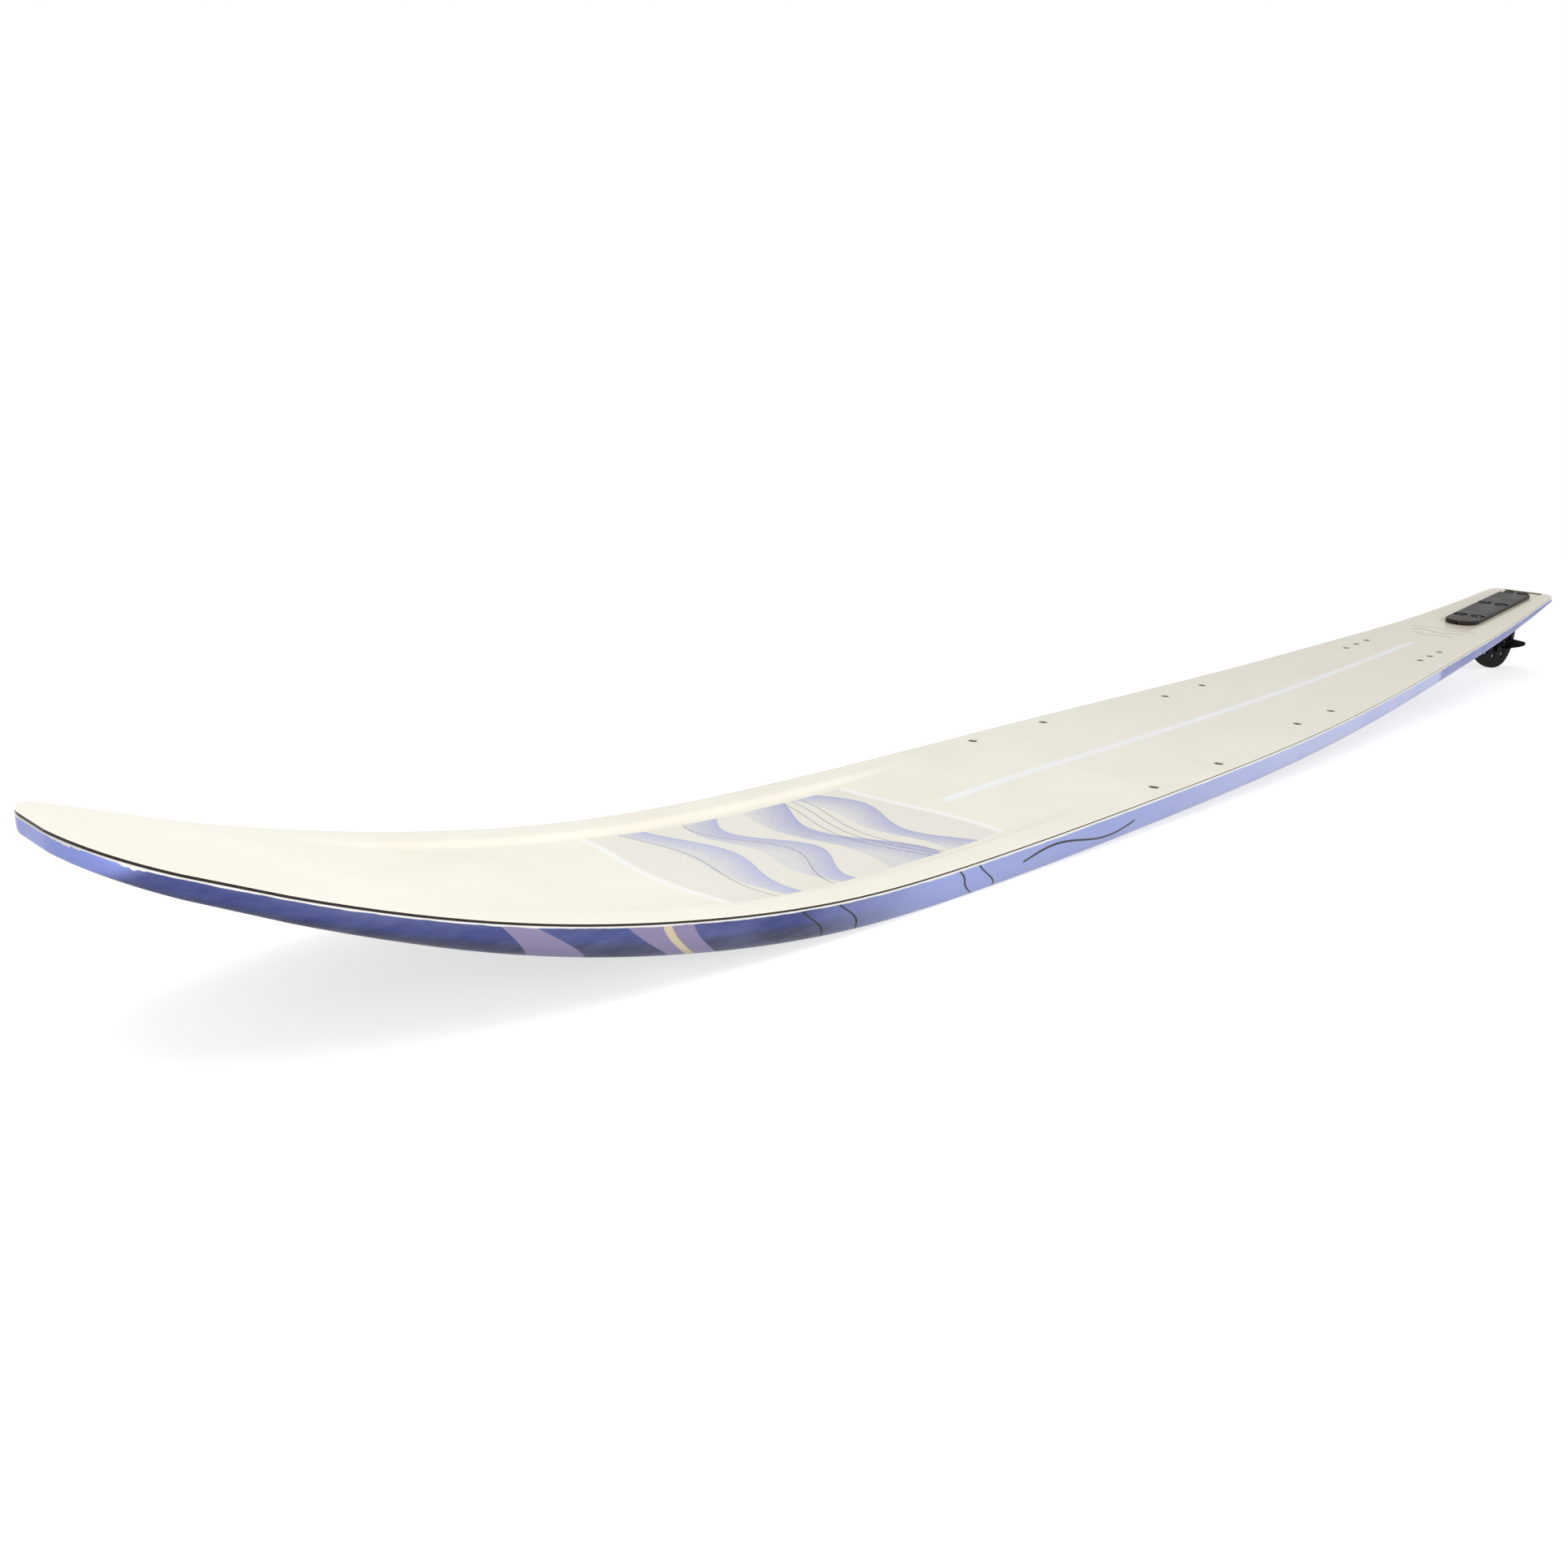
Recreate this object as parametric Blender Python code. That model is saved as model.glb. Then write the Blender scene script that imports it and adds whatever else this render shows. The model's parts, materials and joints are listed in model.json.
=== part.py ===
# Slalom water ski: a foam cored board with an adjustable fin and wing under its tail.
# Metres, +Z up, +X from the tail to the nose, +Y the rider's left.
# The board is drawn level, with its tail end at x = 0. At the end it is tipped by a few degrees,
# so that it stands on its forebody and on the lowest point of the fin.

import math

import bpy
import bmesh
import numpy as np
from mathutils import Matrix, Vector

# Board, measured along the deck from the tail end
SKI_LENGTH = 1.620
NOSE_ROUND = 0.060
NOSE_POWER = 5.2
NOSE_BLUNT = 0.0009
TAIL_ROUND = 0.014
TAIL_CORNER = 0.012

# Stations of the outline, the rocker and the edge depth: share of the length, then a real size
OUTLINE = [(0.0, 0.0330), (0.123, 0.0447), (0.247, 0.0579), (0.370, 0.0705), (0.494, 0.0800),
           (0.617, 0.0828), (0.741, 0.0826), (0.802, 0.0812), (0.864, 0.0755), (0.926, 0.0652),
           (0.963, 0.0533), (1.0, 0.0405)]
ROCKER = [(0.0, 0.0290), (0.123, 0.0147), (0.247, 0.0069), (0.370, 0.0014), (0.494, -0.0002),
          (0.617, 0.0010), (0.741, 0.0042), (0.802, 0.0098), (0.864, 0.0245), (0.926, 0.0495),
          (0.963, 0.0705), (1.0, 0.0961)]
EDGE_DEPTH = [(0.0, 0.0068), (0.062, 0.0105), (0.185, 0.0138), (0.400, 0.0168), (0.617, 0.0184),
              (0.802, 0.0179), (0.895, 0.0155), (0.963, 0.0110), (1.0, 0.0084)]

# Section
SIDE_BULGE = 0.0008
BASE_BEVEL = 0.0040
NOSE_BEVEL = 0.0016
RAIL_WIDTH = 0.009
TUNNEL_DEPTH = 0.0042
TUNNEL_START = 0.10
TUNNEL_FULL = 0.32
TUNNEL_NOSE_FULL = 0.78
TUNNEL_NOSE_END = 0.95
EDGE_RADIUS = 0.0020

# Trough moulded into the deck ahead of the front binding
TROUGH_RIM = 0.0155
TROUGH_WALL = 0.0070
TROUGH_DEPTH = 0.0030
TROUGH_NOSE_END = 0.945
TROUGH_NOSE_FULL = 0.890
TROUGH_TAIL_FULL = 0.725
TROUGH_TAIL_END = 0.640

# Skins
TOP_SHEET = 0.0006
LAMINATE = 0.0008
SHELL_WALL = 0.0014
GLUE_LINE = 0.0003
SHELL_TOP = TOP_SHEET + LAMINATE + 2.0 * GLUE_LINE
CORE_INSET = SHELL_WALL + GLUE_LINE

# Binding inserts: rows by distance from the tail end, with half the space across
INSERT_ROWS = [(0.9884, 0.06985), (0.8995, 0.06985), (0.7408, 0.0556), (0.6773, 0.0556),
               (0.4233, 0.0349), (0.3979, 0.0349), (0.3725, 0.0349)]
INSERT_RADIUS = 0.0048
INSERT_BORE = 0.00255
INSERT_LENGTH = 0.0068
INSERT_FLOOR = 0.0010

# Fin plate and its screws
PLATE_LENGTH = 0.200
PLATE_WIDTH = 0.033
PLATE_HEIGHT = 0.0045
PLATE_BEVEL = 0.0013
PLATE_TAIL_GAP = 0.019
SEAT_DEPTH = 0.0012
SEAT_MARGIN = 0.0025
SEAT_WALL = 0.0025
SEAT_RUN_OUT = 0.045
SCREW_PITCH = 0.0762
SCREW_AXIS_SHIFT = -0.0120
SCREW_HALF_SPACE = 0.0086
POCKET_RADIUS = 0.0068
POCKET_DEPTH = 0.0021
PLATE_SCREW_SHANK = 0.0020
PLATE_SCREW_HEAD = 0.0046
PLATE_SCREW_HEAD_HEIGHT = 0.0020
PLATE_SCREW_REACH = 0.0038
PLATE_INSERT_RADIUS = 0.0034
PLATE_INSERT_LENGTH = 0.0045

# Clamp cheeks in the slot
CHEEK_LENGTH = 0.132
CHEEK_SHIFT = -0.010
CHEEK_THICKNESS = 0.0037
CHEEK_BELOW = 0.0062
CHEEK_ABOVE = 0.0025
LIP_WIDTH = 0.0008
LIP_HEIGHT = 0.0012
BOLT_PITCH = 0.048
BOLT_RADIUS = 0.0015
BOLT_HEAD_RADIUS = 0.0026
BOLT_HEAD_HEIGHT = 0.0013
BOLT_DROP = 0.0030
LENGTH_SCREW_RADIUS = 0.00125

# Fin blade, in the plate's frame: x from the plate's centre, z down from its seat
FIN_THICKNESS = 0.0020
FIN_HEEL = -0.1110
FIN_BOTTOM_X = -0.0689
FIN_FRONT = 0.0600
FIN_DEPTH = 0.0781
FIN_HEEL_TOP = 0.0100
FIN_HEEL_STRAIGHT = 0.0410
FIN_FRONT_START = 0.0120
FIN_FRONT_POWER = 1.6
FIN_HEEL_POWER = 2.5
TONGUE_TOP = 0.0010
TONGUE_SETBACK = 0.0080
TONGUE_FOOT = -0.0040
FIN_HOLES = [(-0.0120, -0.0511), (-0.0413, -0.0609), (-0.0737, -0.0645)]
FIN_HOLE_RADIUS = 0.0040
DEPTH_TRAVEL = 0.0015
LENGTH_TRAVEL = 0.0030

# Wing
WING_SCREW_X = -0.0640
WING_SCREW_Z = -0.0500
WING_ANGLE = 7.2
WING_TRAVEL = 4.0
WING_SHEET = 0.0016
WING_SCREW_PITCH = 0.0254
WING_FRONT = 0.0190
WING_REAR = -0.0340
WING_TOP = 0.0070
WING_FOLD = -0.0070
WING_SPAN = 0.0165
WING_ROOT_FRONT = -0.0020
WING_TIP_FRONT = -0.0190
WING_TIP_RADIUS = 0.0040
WING_SCREW_RADIUS = 0.0015
WING_SCREW_HEAD = 0.0030
WING_SCREW_HEAD_HEIGHT = 0.0014

PLAY = 0.0003

SEGMENTS = 10
CUT_SEGMENTS = 10


# Scene and materials

for old in list(bpy.data.objects):
    bpy.data.objects.remove(old, do_unlink=True)


def material(name, colour, roughness, metallic=0.0):
    made = bpy.data.materials.new(name)
    made.use_nodes = True
    shader = made.node_tree.nodes["Principled BSDF"]
    shader.inputs["Base Color"].default_value = (*colour, 1.0)
    shader.inputs["Roughness"].default_value = roughness
    shader.inputs["Metallic"].default_value = metallic
    return made


CREAM = material("cream_top_sheet", (0.88, 0.84, 0.72), 0.28)
CARBON = material("carbon_edge", (0.05, 0.04, 0.04), 0.45)
FOAM = material("polyurethane_foam", (0.78, 0.72, 0.50), 0.85)
PERIWINKLE = material("periwinkle_base_shell", (0.16, 0.19, 0.56), 0.25)
STEEL = material("stainless_insert", (0.60, 0.60, 0.58), 0.30, 1.0)
BLACK_PLATE = material("black_moulded_plate", (0.045, 0.043, 0.042), 0.42)
BLACK_METAL = material("black_anodised_aluminium", (0.012, 0.012, 0.013), 0.38, 0.6)
BLACK_SCREW = material("black_zinc_screw", (0.02, 0.02, 0.02), 0.30, 0.8)
CHEEK_METAL = material("clear_anodised_aluminium", (0.55, 0.56, 0.57), 0.35, 1.0)


# Mesh helpers

def place(name, mesh, finish, parent, location=(0.0, 0.0, 0.0), smooth=30.0):
    made = bpy.data.objects.new(name, mesh)
    bpy.context.scene.collection.objects.link(made)
    made.data.materials.append(finish)
    made.parent = parent
    made.location = location
    mesh.shade_smooth()
    mesh.set_sharp_from_angle(angle=math.radians(smooth))
    return made


def finish_mesh(name, bm):
    bmesh.ops.remove_doubles(bm, verts=bm.verts, dist=1e-7)
    bmesh.ops.recalc_face_normals(bm, faces=bm.faces)
    mesh = bpy.data.meshes.new(name)
    bm.to_mesh(mesh)
    bm.free()
    return mesh


def loft_mesh(name, rings):
    """A closed skin through rings of equal count, with both end rings filled.
    Each four sided patch is split from its inner corner to the next ring's outer corner."""
    bm = bmesh.new()
    rows = [[bm.verts.new(point) for point in ring] for ring in rings]
    count = len(rings[0])
    for row, following in zip(rows, rows[1:]):
        for i in range(count):
            j = (i + 1) % count
            if abs(row[j].co.y) >= abs(row[i].co.y):
                bm.faces.new((row[i], row[j], following[j]))
                bm.faces.new((row[i], following[j], following[i]))
            else:
                bm.faces.new((row[i], row[j], following[i]))
                bm.faces.new((row[j], following[j], following[i]))
    bm.faces.new(rows[0])
    bm.faces.new(rows[-1])
    return finish_mesh(name, bm)


def turned_mesh(name, profile, segments=SEGMENTS):
    """A closed profile of (radius, height) points, from axis to axis, turned about Z."""
    bm = bmesh.new()
    rings = []
    for radius, height in profile:
        if radius == 0.0:
            rings.append([bm.verts.new((0.0, 0.0, height))] * segments)
        else:
            turn = 2.0 * math.pi / segments
            rings.append([bm.verts.new((radius * math.cos(turn * i), radius * math.sin(turn * i), height))
                          for i in range(segments)])
    for lower, upper in zip(rings, rings[1:]):
        for i in range(segments):
            j = (i + 1) % segments
            corners = [lower[i], lower[j], upper[j], upper[i]]
            distinct = list(dict.fromkeys(corners))
            if len(distinct) > 2:
                bm.faces.new(distinct)
    return finish_mesh(name, bm)


def prism_mesh(name, outline, low, high, plane="XY"):
    """A flat outline pulled from low to high along the axis square to its plane."""
    def at(point, level):
        if plane == "XY":
            return (point[0], point[1], level)
        return (point[0], level, point[1])
    bm = bmesh.new()
    floor = [bm.verts.new(at(point, low)) for point in outline]
    roof = [bm.verts.new(at(point, high)) for point in outline]
    count = len(outline)
    for i in range(count):
        j = (i + 1) % count
        bm.faces.new((floor[i], floor[j], roof[j], roof[i]))
    bm.faces.new(floor)
    bm.faces.new(roof)
    return finish_mesh(name, bm)


def join_meshes(name, parts):
    """Several separate closed bodies in one cutter mesh."""
    bm = bmesh.new()
    for mesh, matrix in parts:
        extra = mesh.copy()
        extra.transform(matrix)
        bm.from_mesh(extra)
    mesh = bpy.data.meshes.new(name)
    bm.to_mesh(mesh)
    bm.free()
    return mesh


def cutter(name, mesh, parent, location=(0.0, 0.0, 0.0)):
    made = bpy.data.objects.new(name, mesh)
    bpy.context.scene.collection.objects.link(made)
    made.parent = parent
    made.location = location
    made.hide_render = True
    made.display_type = "WIRE"
    return made


def cut(target, tool, operation="DIFFERENCE"):
    modifier = target.modifiers.new(tool.name, "BOOLEAN")
    modifier.operation = operation
    modifier.solver = "EXACT"
    modifier.object = tool


def arc(centre, radius, start, end, steps):
    """Points on an arc from start to end, in degrees."""
    points = []
    for i in range(steps + 1):
        turn = math.radians(start + (end - start) * i / steps)
        points.append((centre[0] + radius * math.cos(turn), centre[1] + radius * math.sin(turn)))
    return points


def stadium(length, width, steps=8):
    """A slot outline along X, centred on the origin."""
    radius = width / 2.0
    reach = length / 2.0 - radius
    return arc((reach, 0.0), radius, -90.0, 90.0, steps) + arc((-reach, 0.0), radius, 90.0, 270.0, steps)


def box_outline(x_low, x_high, y_low, y_high):
    return [(x_low, y_low), (x_high, y_low), (x_high, y_high), (x_low, y_high)]


# Frames: the ski stands in one, and the fin plate, the fin and the wing are drawn in their own

def frame(name, parent=None, location=(0.0, 0.0, 0.0), pitch=0.0):
    made = bpy.data.objects.new(name, None)
    bpy.context.scene.collection.objects.link(made)
    made.parent = parent
    made.location = location
    made.rotation_euler = (0.0, pitch, 0.0)
    return made


# Curves of the board

def spline(stations):
    """A natural cubic through (share of the length, value) stations, as a function of x in metres."""
    xs = np.array([share * SKI_LENGTH for share, value in stations])
    ys = np.array([value for share, value in stations])
    step = np.diff(xs)
    count = len(xs)
    matrix = np.eye(count)
    right = np.zeros(count)
    for i in range(1, count - 1):
        matrix[i, i - 1] = step[i - 1]
        matrix[i, i] = 2.0 * (step[i - 1] + step[i])
        matrix[i, i + 1] = step[i]
        right[i] = 6.0 * ((ys[i + 1] - ys[i]) / step[i] - (ys[i] - ys[i - 1]) / step[i - 1])
    bend = np.linalg.solve(matrix, right)

    def value(x):
        i = int(np.clip(np.searchsorted(xs, x) - 1, 0, count - 2))
        a = (xs[i + 1] - x) / step[i]
        b = (x - xs[i]) / step[i]
        cubic = (a ** 3 - a) * bend[i] + (b ** 3 - b) * bend[i + 1]
        return float(a * ys[i] + b * ys[i + 1] + cubic * step[i] ** 2 / 6.0)
    return value


outline_at = spline(OUTLINE)
rocker_at = spline(ROCKER)
depth_at = spline(EDGE_DEPTH)


def smooth_step(start, end, x):
    share = min(max((x - start) / (end - start), 0.0), 1.0)
    return share * share * (3.0 - 2.0 * share)


def half_width(x, inset=0.0):
    """Half the deck's width: the outline, closed by a round nose and by rounded tail corners."""
    width = outline_at(x) - inset
    from_nose = (x - (SKI_LENGTH - NOSE_ROUND)) / (NOSE_ROUND + NOSE_BLUNT - inset)
    if from_nose > 0.0:
        width *= math.sqrt(max(1.0 - from_nose ** NOSE_POWER, 0.0))
    from_tail = (TAIL_ROUND + inset - x) / TAIL_ROUND
    if from_tail > 0.0:
        width -= TAIL_CORNER * (1.0 - math.sqrt(max(1.0 - from_tail ** 2, 0.0)))
    return max(width, 0.0012)


def trough_at(x):
    share = x / SKI_LENGTH
    ahead = smooth_step(TROUGH_NOSE_END, TROUGH_NOSE_FULL, share)
    behind = smooth_step(TROUGH_TAIL_END, TROUGH_TAIL_FULL, share)
    return TROUGH_DEPTH * ahead * behind


# The plate's seat is a flat cut into the deck, on the chord between the plate's two ends
SEAT_REAR = PLATE_TAIL_GAP
SEAT_FRONT = PLATE_TAIL_GAP + PLATE_LENGTH
SEAT_CENTRE = (SEAT_REAR + SEAT_FRONT) / 2.0
SEAT_REAR_HEIGHT = rocker_at(SEAT_REAR) - SEAT_DEPTH
SEAT_FRONT_HEIGHT = rocker_at(SEAT_FRONT) - SEAT_DEPTH
SEAT_SLOPE = (SEAT_FRONT_HEIGHT - SEAT_REAR_HEIGHT) / PLATE_LENGTH
SEAT_HEIGHT = (SEAT_REAR_HEIGHT + SEAT_FRONT_HEIGHT) / 2.0
SEAT_PITCH = -math.atan(SEAT_SLOPE)


def seat_drop_at(x):
    """How far the seat lies under the deck: flat under the plate, run out ahead of it."""
    plane = SEAT_HEIGHT + SEAT_SLOPE * (x - SEAT_CENTRE)
    drop = max(rocker_at(x) - plane, 0.0)
    ahead = smooth_step(SEAT_FRONT + SEAT_RUN_OUT, SEAT_FRONT + SEAT_MARGIN, x)
    if x > SEAT_FRONT:
        drop = SEAT_DEPTH + (drop - SEAT_DEPTH) * ahead
    return drop * ahead


SEAT_HALF = PLATE_WIDTH / 2.0 + SEAT_MARGIN


def deck_row(x, width, drop):
    """The deck's upper line across the board, from -Y to +Y, lowered by drop.
    Seat and trough keep one place in every layer, whatever the layer's own width."""
    full = half_width(x)
    narrow = half_width(x, CORE_INSET)
    seat_floor = min(SEAT_HALF, 0.80 * narrow)
    seat_rim = min(SEAT_HALF + SEAT_WALL, 0.86 * narrow)
    trough_floor = max(full - TROUGH_RIM - TROUGH_WALL, seat_rim + 0.03 * narrow)
    trough_rim = max(full - TROUGH_RIM, trough_floor + 0.03 * narrow)
    shoulder = max(width - EDGE_RADIUS, trough_rim + 0.03 * narrow)
    edge_height = rocker_at(x) - drop
    floor = edge_height - trough_at(x)
    seat = floor - seat_drop_at(x)
    fall = min(EDGE_RADIUS * 0.35, 0.2 * width)
    half = [(seat_floor, seat), (seat_rim, floor), (trough_floor, floor), (trough_rim, edge_height),
            (shoulder, edge_height), (width, edge_height - fall)]
    left = [(x, y, z) for y, z in half]
    right = [(x, -y, z) for y, z in reversed(half)]
    return right + [(x, 0.0, seat)] + left


def base_row(x, width, lift):
    """The sides and the base, from +Y round to -Y, raised by lift."""
    depth = depth_at(x)
    edge_height = rocker_at(x)
    small = min(width / 0.020, 1.0)
    ahead = smooth_step(TUNNEL_NOSE_END, TUNNEL_NOSE_FULL, x / SKI_LENGTH)
    tunnel = TUNNEL_DEPTH * smooth_step(TUNNEL_START, TUNNEL_FULL, x) * ahead
    base = edge_height - depth + lift
    bevel = BASE_BEVEL + (NOSE_BEVEL - BASE_BEVEL) * smooth_step(0.935, 0.985, x / SKI_LENGTH)
    bevel *= small
    rail = width - bevel - RAIL_WIDTH * small
    upper = max(0.42 * depth, SHELL_TOP + 0.0013)
    half = [(width + SIDE_BULGE * small, edge_height - upper),
            (width + SIDE_BULGE * small * 0.6, edge_height - max(0.70 * depth, upper + 0.0003)),
            (width - bevel, base), (rail, base), (0.62 * rail, base + 0.72 * tunnel),
            (0.25 * rail, base + 0.97 * tunnel)]
    left = [(x, y, z) for y, z in half]
    right = [(x, -y, z) for y, z in reversed(half)]
    return left + right


def stations(inset=0.0):
    """Places along the board: close together where the tail and the nose close in."""
    tail = [SHELL_WALL, CORE_INSET]
    tail += [TAIL_ROUND * (1.0 - math.cos(math.radians(a))) for a in (45.0, 65.0, 90.0)]
    seat = [SEAT_REAR + 0.020, 0.070, 0.120, 0.170, SEAT_FRONT + SEAT_MARGIN, SEAT_FRONT + 0.5 * SEAT_RUN_OUT,
            SEAT_FRONT + SEAT_RUN_OUT]
    body_start = SEAT_FRONT + SEAT_RUN_OUT
    body_end = TROUGH_TAIL_END * SKI_LENGTH
    body = [body_start + (body_end - body_start) * i / 8.0 for i in range(1, 9)]
    fore_end = SKI_LENGTH - NOSE_ROUND
    fore = [body_end + (fore_end - body_end) * i / 11.0 for i in range(1, 12)]
    nose = [SKI_LENGTH - NOSE_ROUND * (1.0 - t) for t in (0.45, 0.68, 0.82, 0.91, 0.95)]
    nose += [SKI_LENGTH - CORE_INSET, SKI_LENGTH - SHELL_WALL]
    places = [x for x in tail + seat + body + fore + nose if inset + 1e-6 < x < SKI_LENGTH - inset - 1e-6]
    return [inset] + sorted(places) + [SKI_LENGTH - inset]


def sheet_rings(upper_drop, lower_drop):
    rings = []
    for x in stations():
        width = half_width(x)
        rings.append(deck_row(x, width, upper_drop) + list(reversed(deck_row(x, width, lower_drop))))
    return rings


def body_rings(inset, top_drop, base_lift):
    rings = []
    for x in stations(inset):
        width = half_width(x, inset)
        rings.append(deck_row(x, width, top_drop) + base_row(x, width, base_lift))
    return rings


# How the ski stands: on the fin's lowest point and on the lowest part of the forebody

def from_plate_frame(x, z):
    """A point of the plate's frame in the level frame."""
    return (SEAT_CENTRE + x * math.cos(SEAT_PITCH) + z * math.sin(SEAT_PITCH),
            SEAT_HEIGHT - x * math.sin(SEAT_PITCH) + z * math.cos(SEAT_PITCH))


def fin_point(t):
    """Lower edge of the fin, from the front of the base round to the heel."""
    if t <= 1.0:
        reach = math.cos(math.radians(90.0 * t)) ** (2.0 / FIN_FRONT_POWER)
        drop = math.sin(math.radians(90.0 * t)) ** (2.0 / FIN_FRONT_POWER)
        return (FIN_BOTTOM_X + (FIN_FRONT - FIN_BOTTOM_X) * reach,
                -FIN_FRONT_START - (FIN_DEPTH - FIN_FRONT_START) * drop)
    reach = math.sin(math.radians(90.0 * (t - 1.0))) ** (2.0 / FIN_HEEL_POWER)
    drop = math.cos(math.radians(90.0 * (t - 1.0))) ** (2.0 / FIN_HEEL_POWER)
    return (FIN_BOTTOM_X + (FIN_HEEL - FIN_BOTTOM_X) * reach,
            -FIN_HEEL_STRAIGHT - (FIN_DEPTH - FIN_HEEL_STRAIGHT) * drop)


FIN_STEPS = 12
fin_edge = [fin_point(i / FIN_STEPS) for i in range(FIN_STEPS + 1)]
fin_heel_edge = [fin_point(1.0 + i / FIN_STEPS) for i in range(1, FIN_STEPS + 1)]


def standing_pitch():
    """The least slope from a point of the fin's edge to the base ahead of it, with all else above."""
    fin_low = [from_plate_frame(x, z) for x, z in fin_edge + fin_heel_edge]
    base_low = [(x, rocker_at(x) - depth_at(x)) for x in stations() if x > SKI_LENGTH / 2.0]
    slopes = []
    for fx, fz in fin_low:
        slopes.append(min((bz - fz) / (bx - fx) for bx, bz in base_low))
    return math.atan(max(slopes))


stand = frame("stand", pitch=standing_pitch())
plate_frame = frame("plate_frame", stand, (SEAT_CENTRE, 0.0, SEAT_HEIGHT), SEAT_PITCH)
wing_frame = frame("wing_frame", plate_frame, (WING_SCREW_X, 0.0, WING_SCREW_Z), math.radians(WING_ANGLE))


# Skins and core

top_sheet = place("top_sheet", loft_mesh("top_sheet", sheet_rings(0.0, TOP_SHEET)), CREAM, stand)
laminate = place("carbon_laminate",
                 loft_mesh("carbon_laminate", sheet_rings(TOP_SHEET + GLUE_LINE, SHELL_TOP - GLUE_LINE)),
                 CARBON, stand)
core = place("foam_core", loft_mesh("foam_core", body_rings(CORE_INSET, SHELL_TOP, CORE_INSET)), FOAM, stand)
base_shell = place("base_shell", loft_mesh("base_shell", body_rings(0.0, SHELL_TOP, 0.0)), PERIWINKLE, stand)
hollow = cutter("shell_hollow", loft_mesh("shell_hollow", body_rings(SHELL_WALL, SHELL_TOP - 0.010, SHELL_WALL)),
                stand)
cut(base_shell, hollow)


# Binding inserts: stainless barrels moulded into the core, flush with the deck

insert_profile = [(0.0, -INSERT_LENGTH), (INSERT_RADIUS * 0.92, -INSERT_LENGTH), (INSERT_RADIUS, -INSERT_LENGTH * 0.85),
                  (INSERT_RADIUS, 0.0), (INSERT_BORE * 1.18, 0.0), (INSERT_BORE, -0.0005),
                  (INSERT_BORE, -INSERT_LENGTH + INSERT_FLOOR), (0.0, -INSERT_LENGTH + INSERT_FLOOR)]
insert_mesh = turned_mesh("binding_insert", insert_profile)
well_mesh = turned_mesh("insert_well", [(0.0, -INSERT_LENGTH - PLAY), (INSERT_RADIUS + PLAY, -INSERT_LENGTH - PLAY),
                                        (INSERT_RADIUS + PLAY, 0.010), (0.0, 0.010)], CUT_SEGMENTS)
wells = []
number = 0
for x, half_space in INSERT_ROWS:
    for side in (1.0, -1.0):
        number += 1
        spot = Vector((x, side * half_space, rocker_at(x) - PLAY))
        place(f"binding_insert_{number:02d}", insert_mesh.copy(), STEEL, stand, spot)
        wells.append((well_mesh, Matrix.Translation(spot)))
insert_wells = cutter("insert_wells", join_meshes("insert_wells", wells), stand)
for skin in (top_sheet, laminate, core):
    cut(skin, insert_wells)


# Fin plate: a moulded stadium with six pockets, over a channel for the clamp cheeks

def screw_spots():
    return [(SCREW_AXIS_SHIFT + step * SCREW_PITCH, side * SCREW_HALF_SPACE)
            for step in (1.0, 0.0, -1.0) for side in (1.0, -1.0)]


FIN_HALF = FIN_THICKNESS / 2.0
CHEEK_INNER = FIN_HALF + PLAY
CHEEK_OUTER = CHEEK_INNER + CHEEK_THICKNESS
CHANNEL_HALF = CHEEK_OUTER + PLAY
LIP_OUTER = CHANNEL_HALF + LIP_WIDTH
CHEEK_REAR = CHEEK_SHIFT - CHEEK_LENGTH / 2.0
CHEEK_FRONT = CHEEK_SHIFT + CHEEK_LENGTH / 2.0
SLOT_REAR = CHEEK_REAR - LENGTH_TRAVEL - 0.004
SLOT_FRONT = CHEEK_FRONT + LENGTH_TRAVEL + 0.006

rim = PLATE_BEVEL
plate_rings = []
for level, draw_in in ((PLAY, 0.0004), (PLAY + 0.0004, 0.0), (PLATE_HEIGHT - rim, 0.0),
                       (PLATE_HEIGHT - 0.3 * rim, 0.35 * rim), (PLATE_HEIGHT, rim)):
    ring = stadium(PLATE_LENGTH - 2.0 * draw_in, PLATE_WIDTH - 2.0 * draw_in, 11)
    plate_rings.append([(x, y, level) for x, y in ring])
fin_plate = place("fin_plate", loft_mesh("fin_plate", plate_rings), BLACK_PLATE, plate_frame)

pocket_mesh = turned_mesh("pocket", [(0.0, PLATE_HEIGHT - POCKET_DEPTH), (POCKET_RADIUS, PLATE_HEIGHT - POCKET_DEPTH),
                                     (POCKET_RADIUS, PLATE_HEIGHT + 0.002), (0.0, PLATE_HEIGHT + 0.002)], 16)
shank_hole = turned_mesh("shank_hole", [(0.0, -0.002), (PLATE_SCREW_SHANK + PLAY, -0.002),
                                        (PLATE_SCREW_SHANK + PLAY, PLATE_HEIGHT), (0.0, PLATE_HEIGHT)], CUT_SEGMENTS)
spots = [Matrix.Translation((x, y, 0.0)) for x, y in screw_spots()]
pockets = cutter("plate_pockets", join_meshes("plate_pockets", [(pocket_mesh, spot) for spot in spots]), plate_frame)
shank_holes = cutter("plate_shank_holes", join_meshes("plate_shank_holes", [(shank_hole, spot) for spot in spots]),
                     plate_frame)
channel = cutter("plate_channel", prism_mesh("plate_channel",
                                             box_outline(SLOT_REAR, SLOT_FRONT, -CHANNEL_HALF, CHANNEL_HALF),
                                             -0.002, CHEEK_ABOVE + PLAY), plate_frame)
lip_channel = cutter("lip_channel", prism_mesh("lip_channel",
                                               box_outline(SLOT_REAR, SLOT_FRONT, -LIP_OUTER - PLAY, LIP_OUTER + PLAY),
                                               -0.003, 2.0 * PLAY + LIP_HEIGHT), plate_frame)
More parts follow.
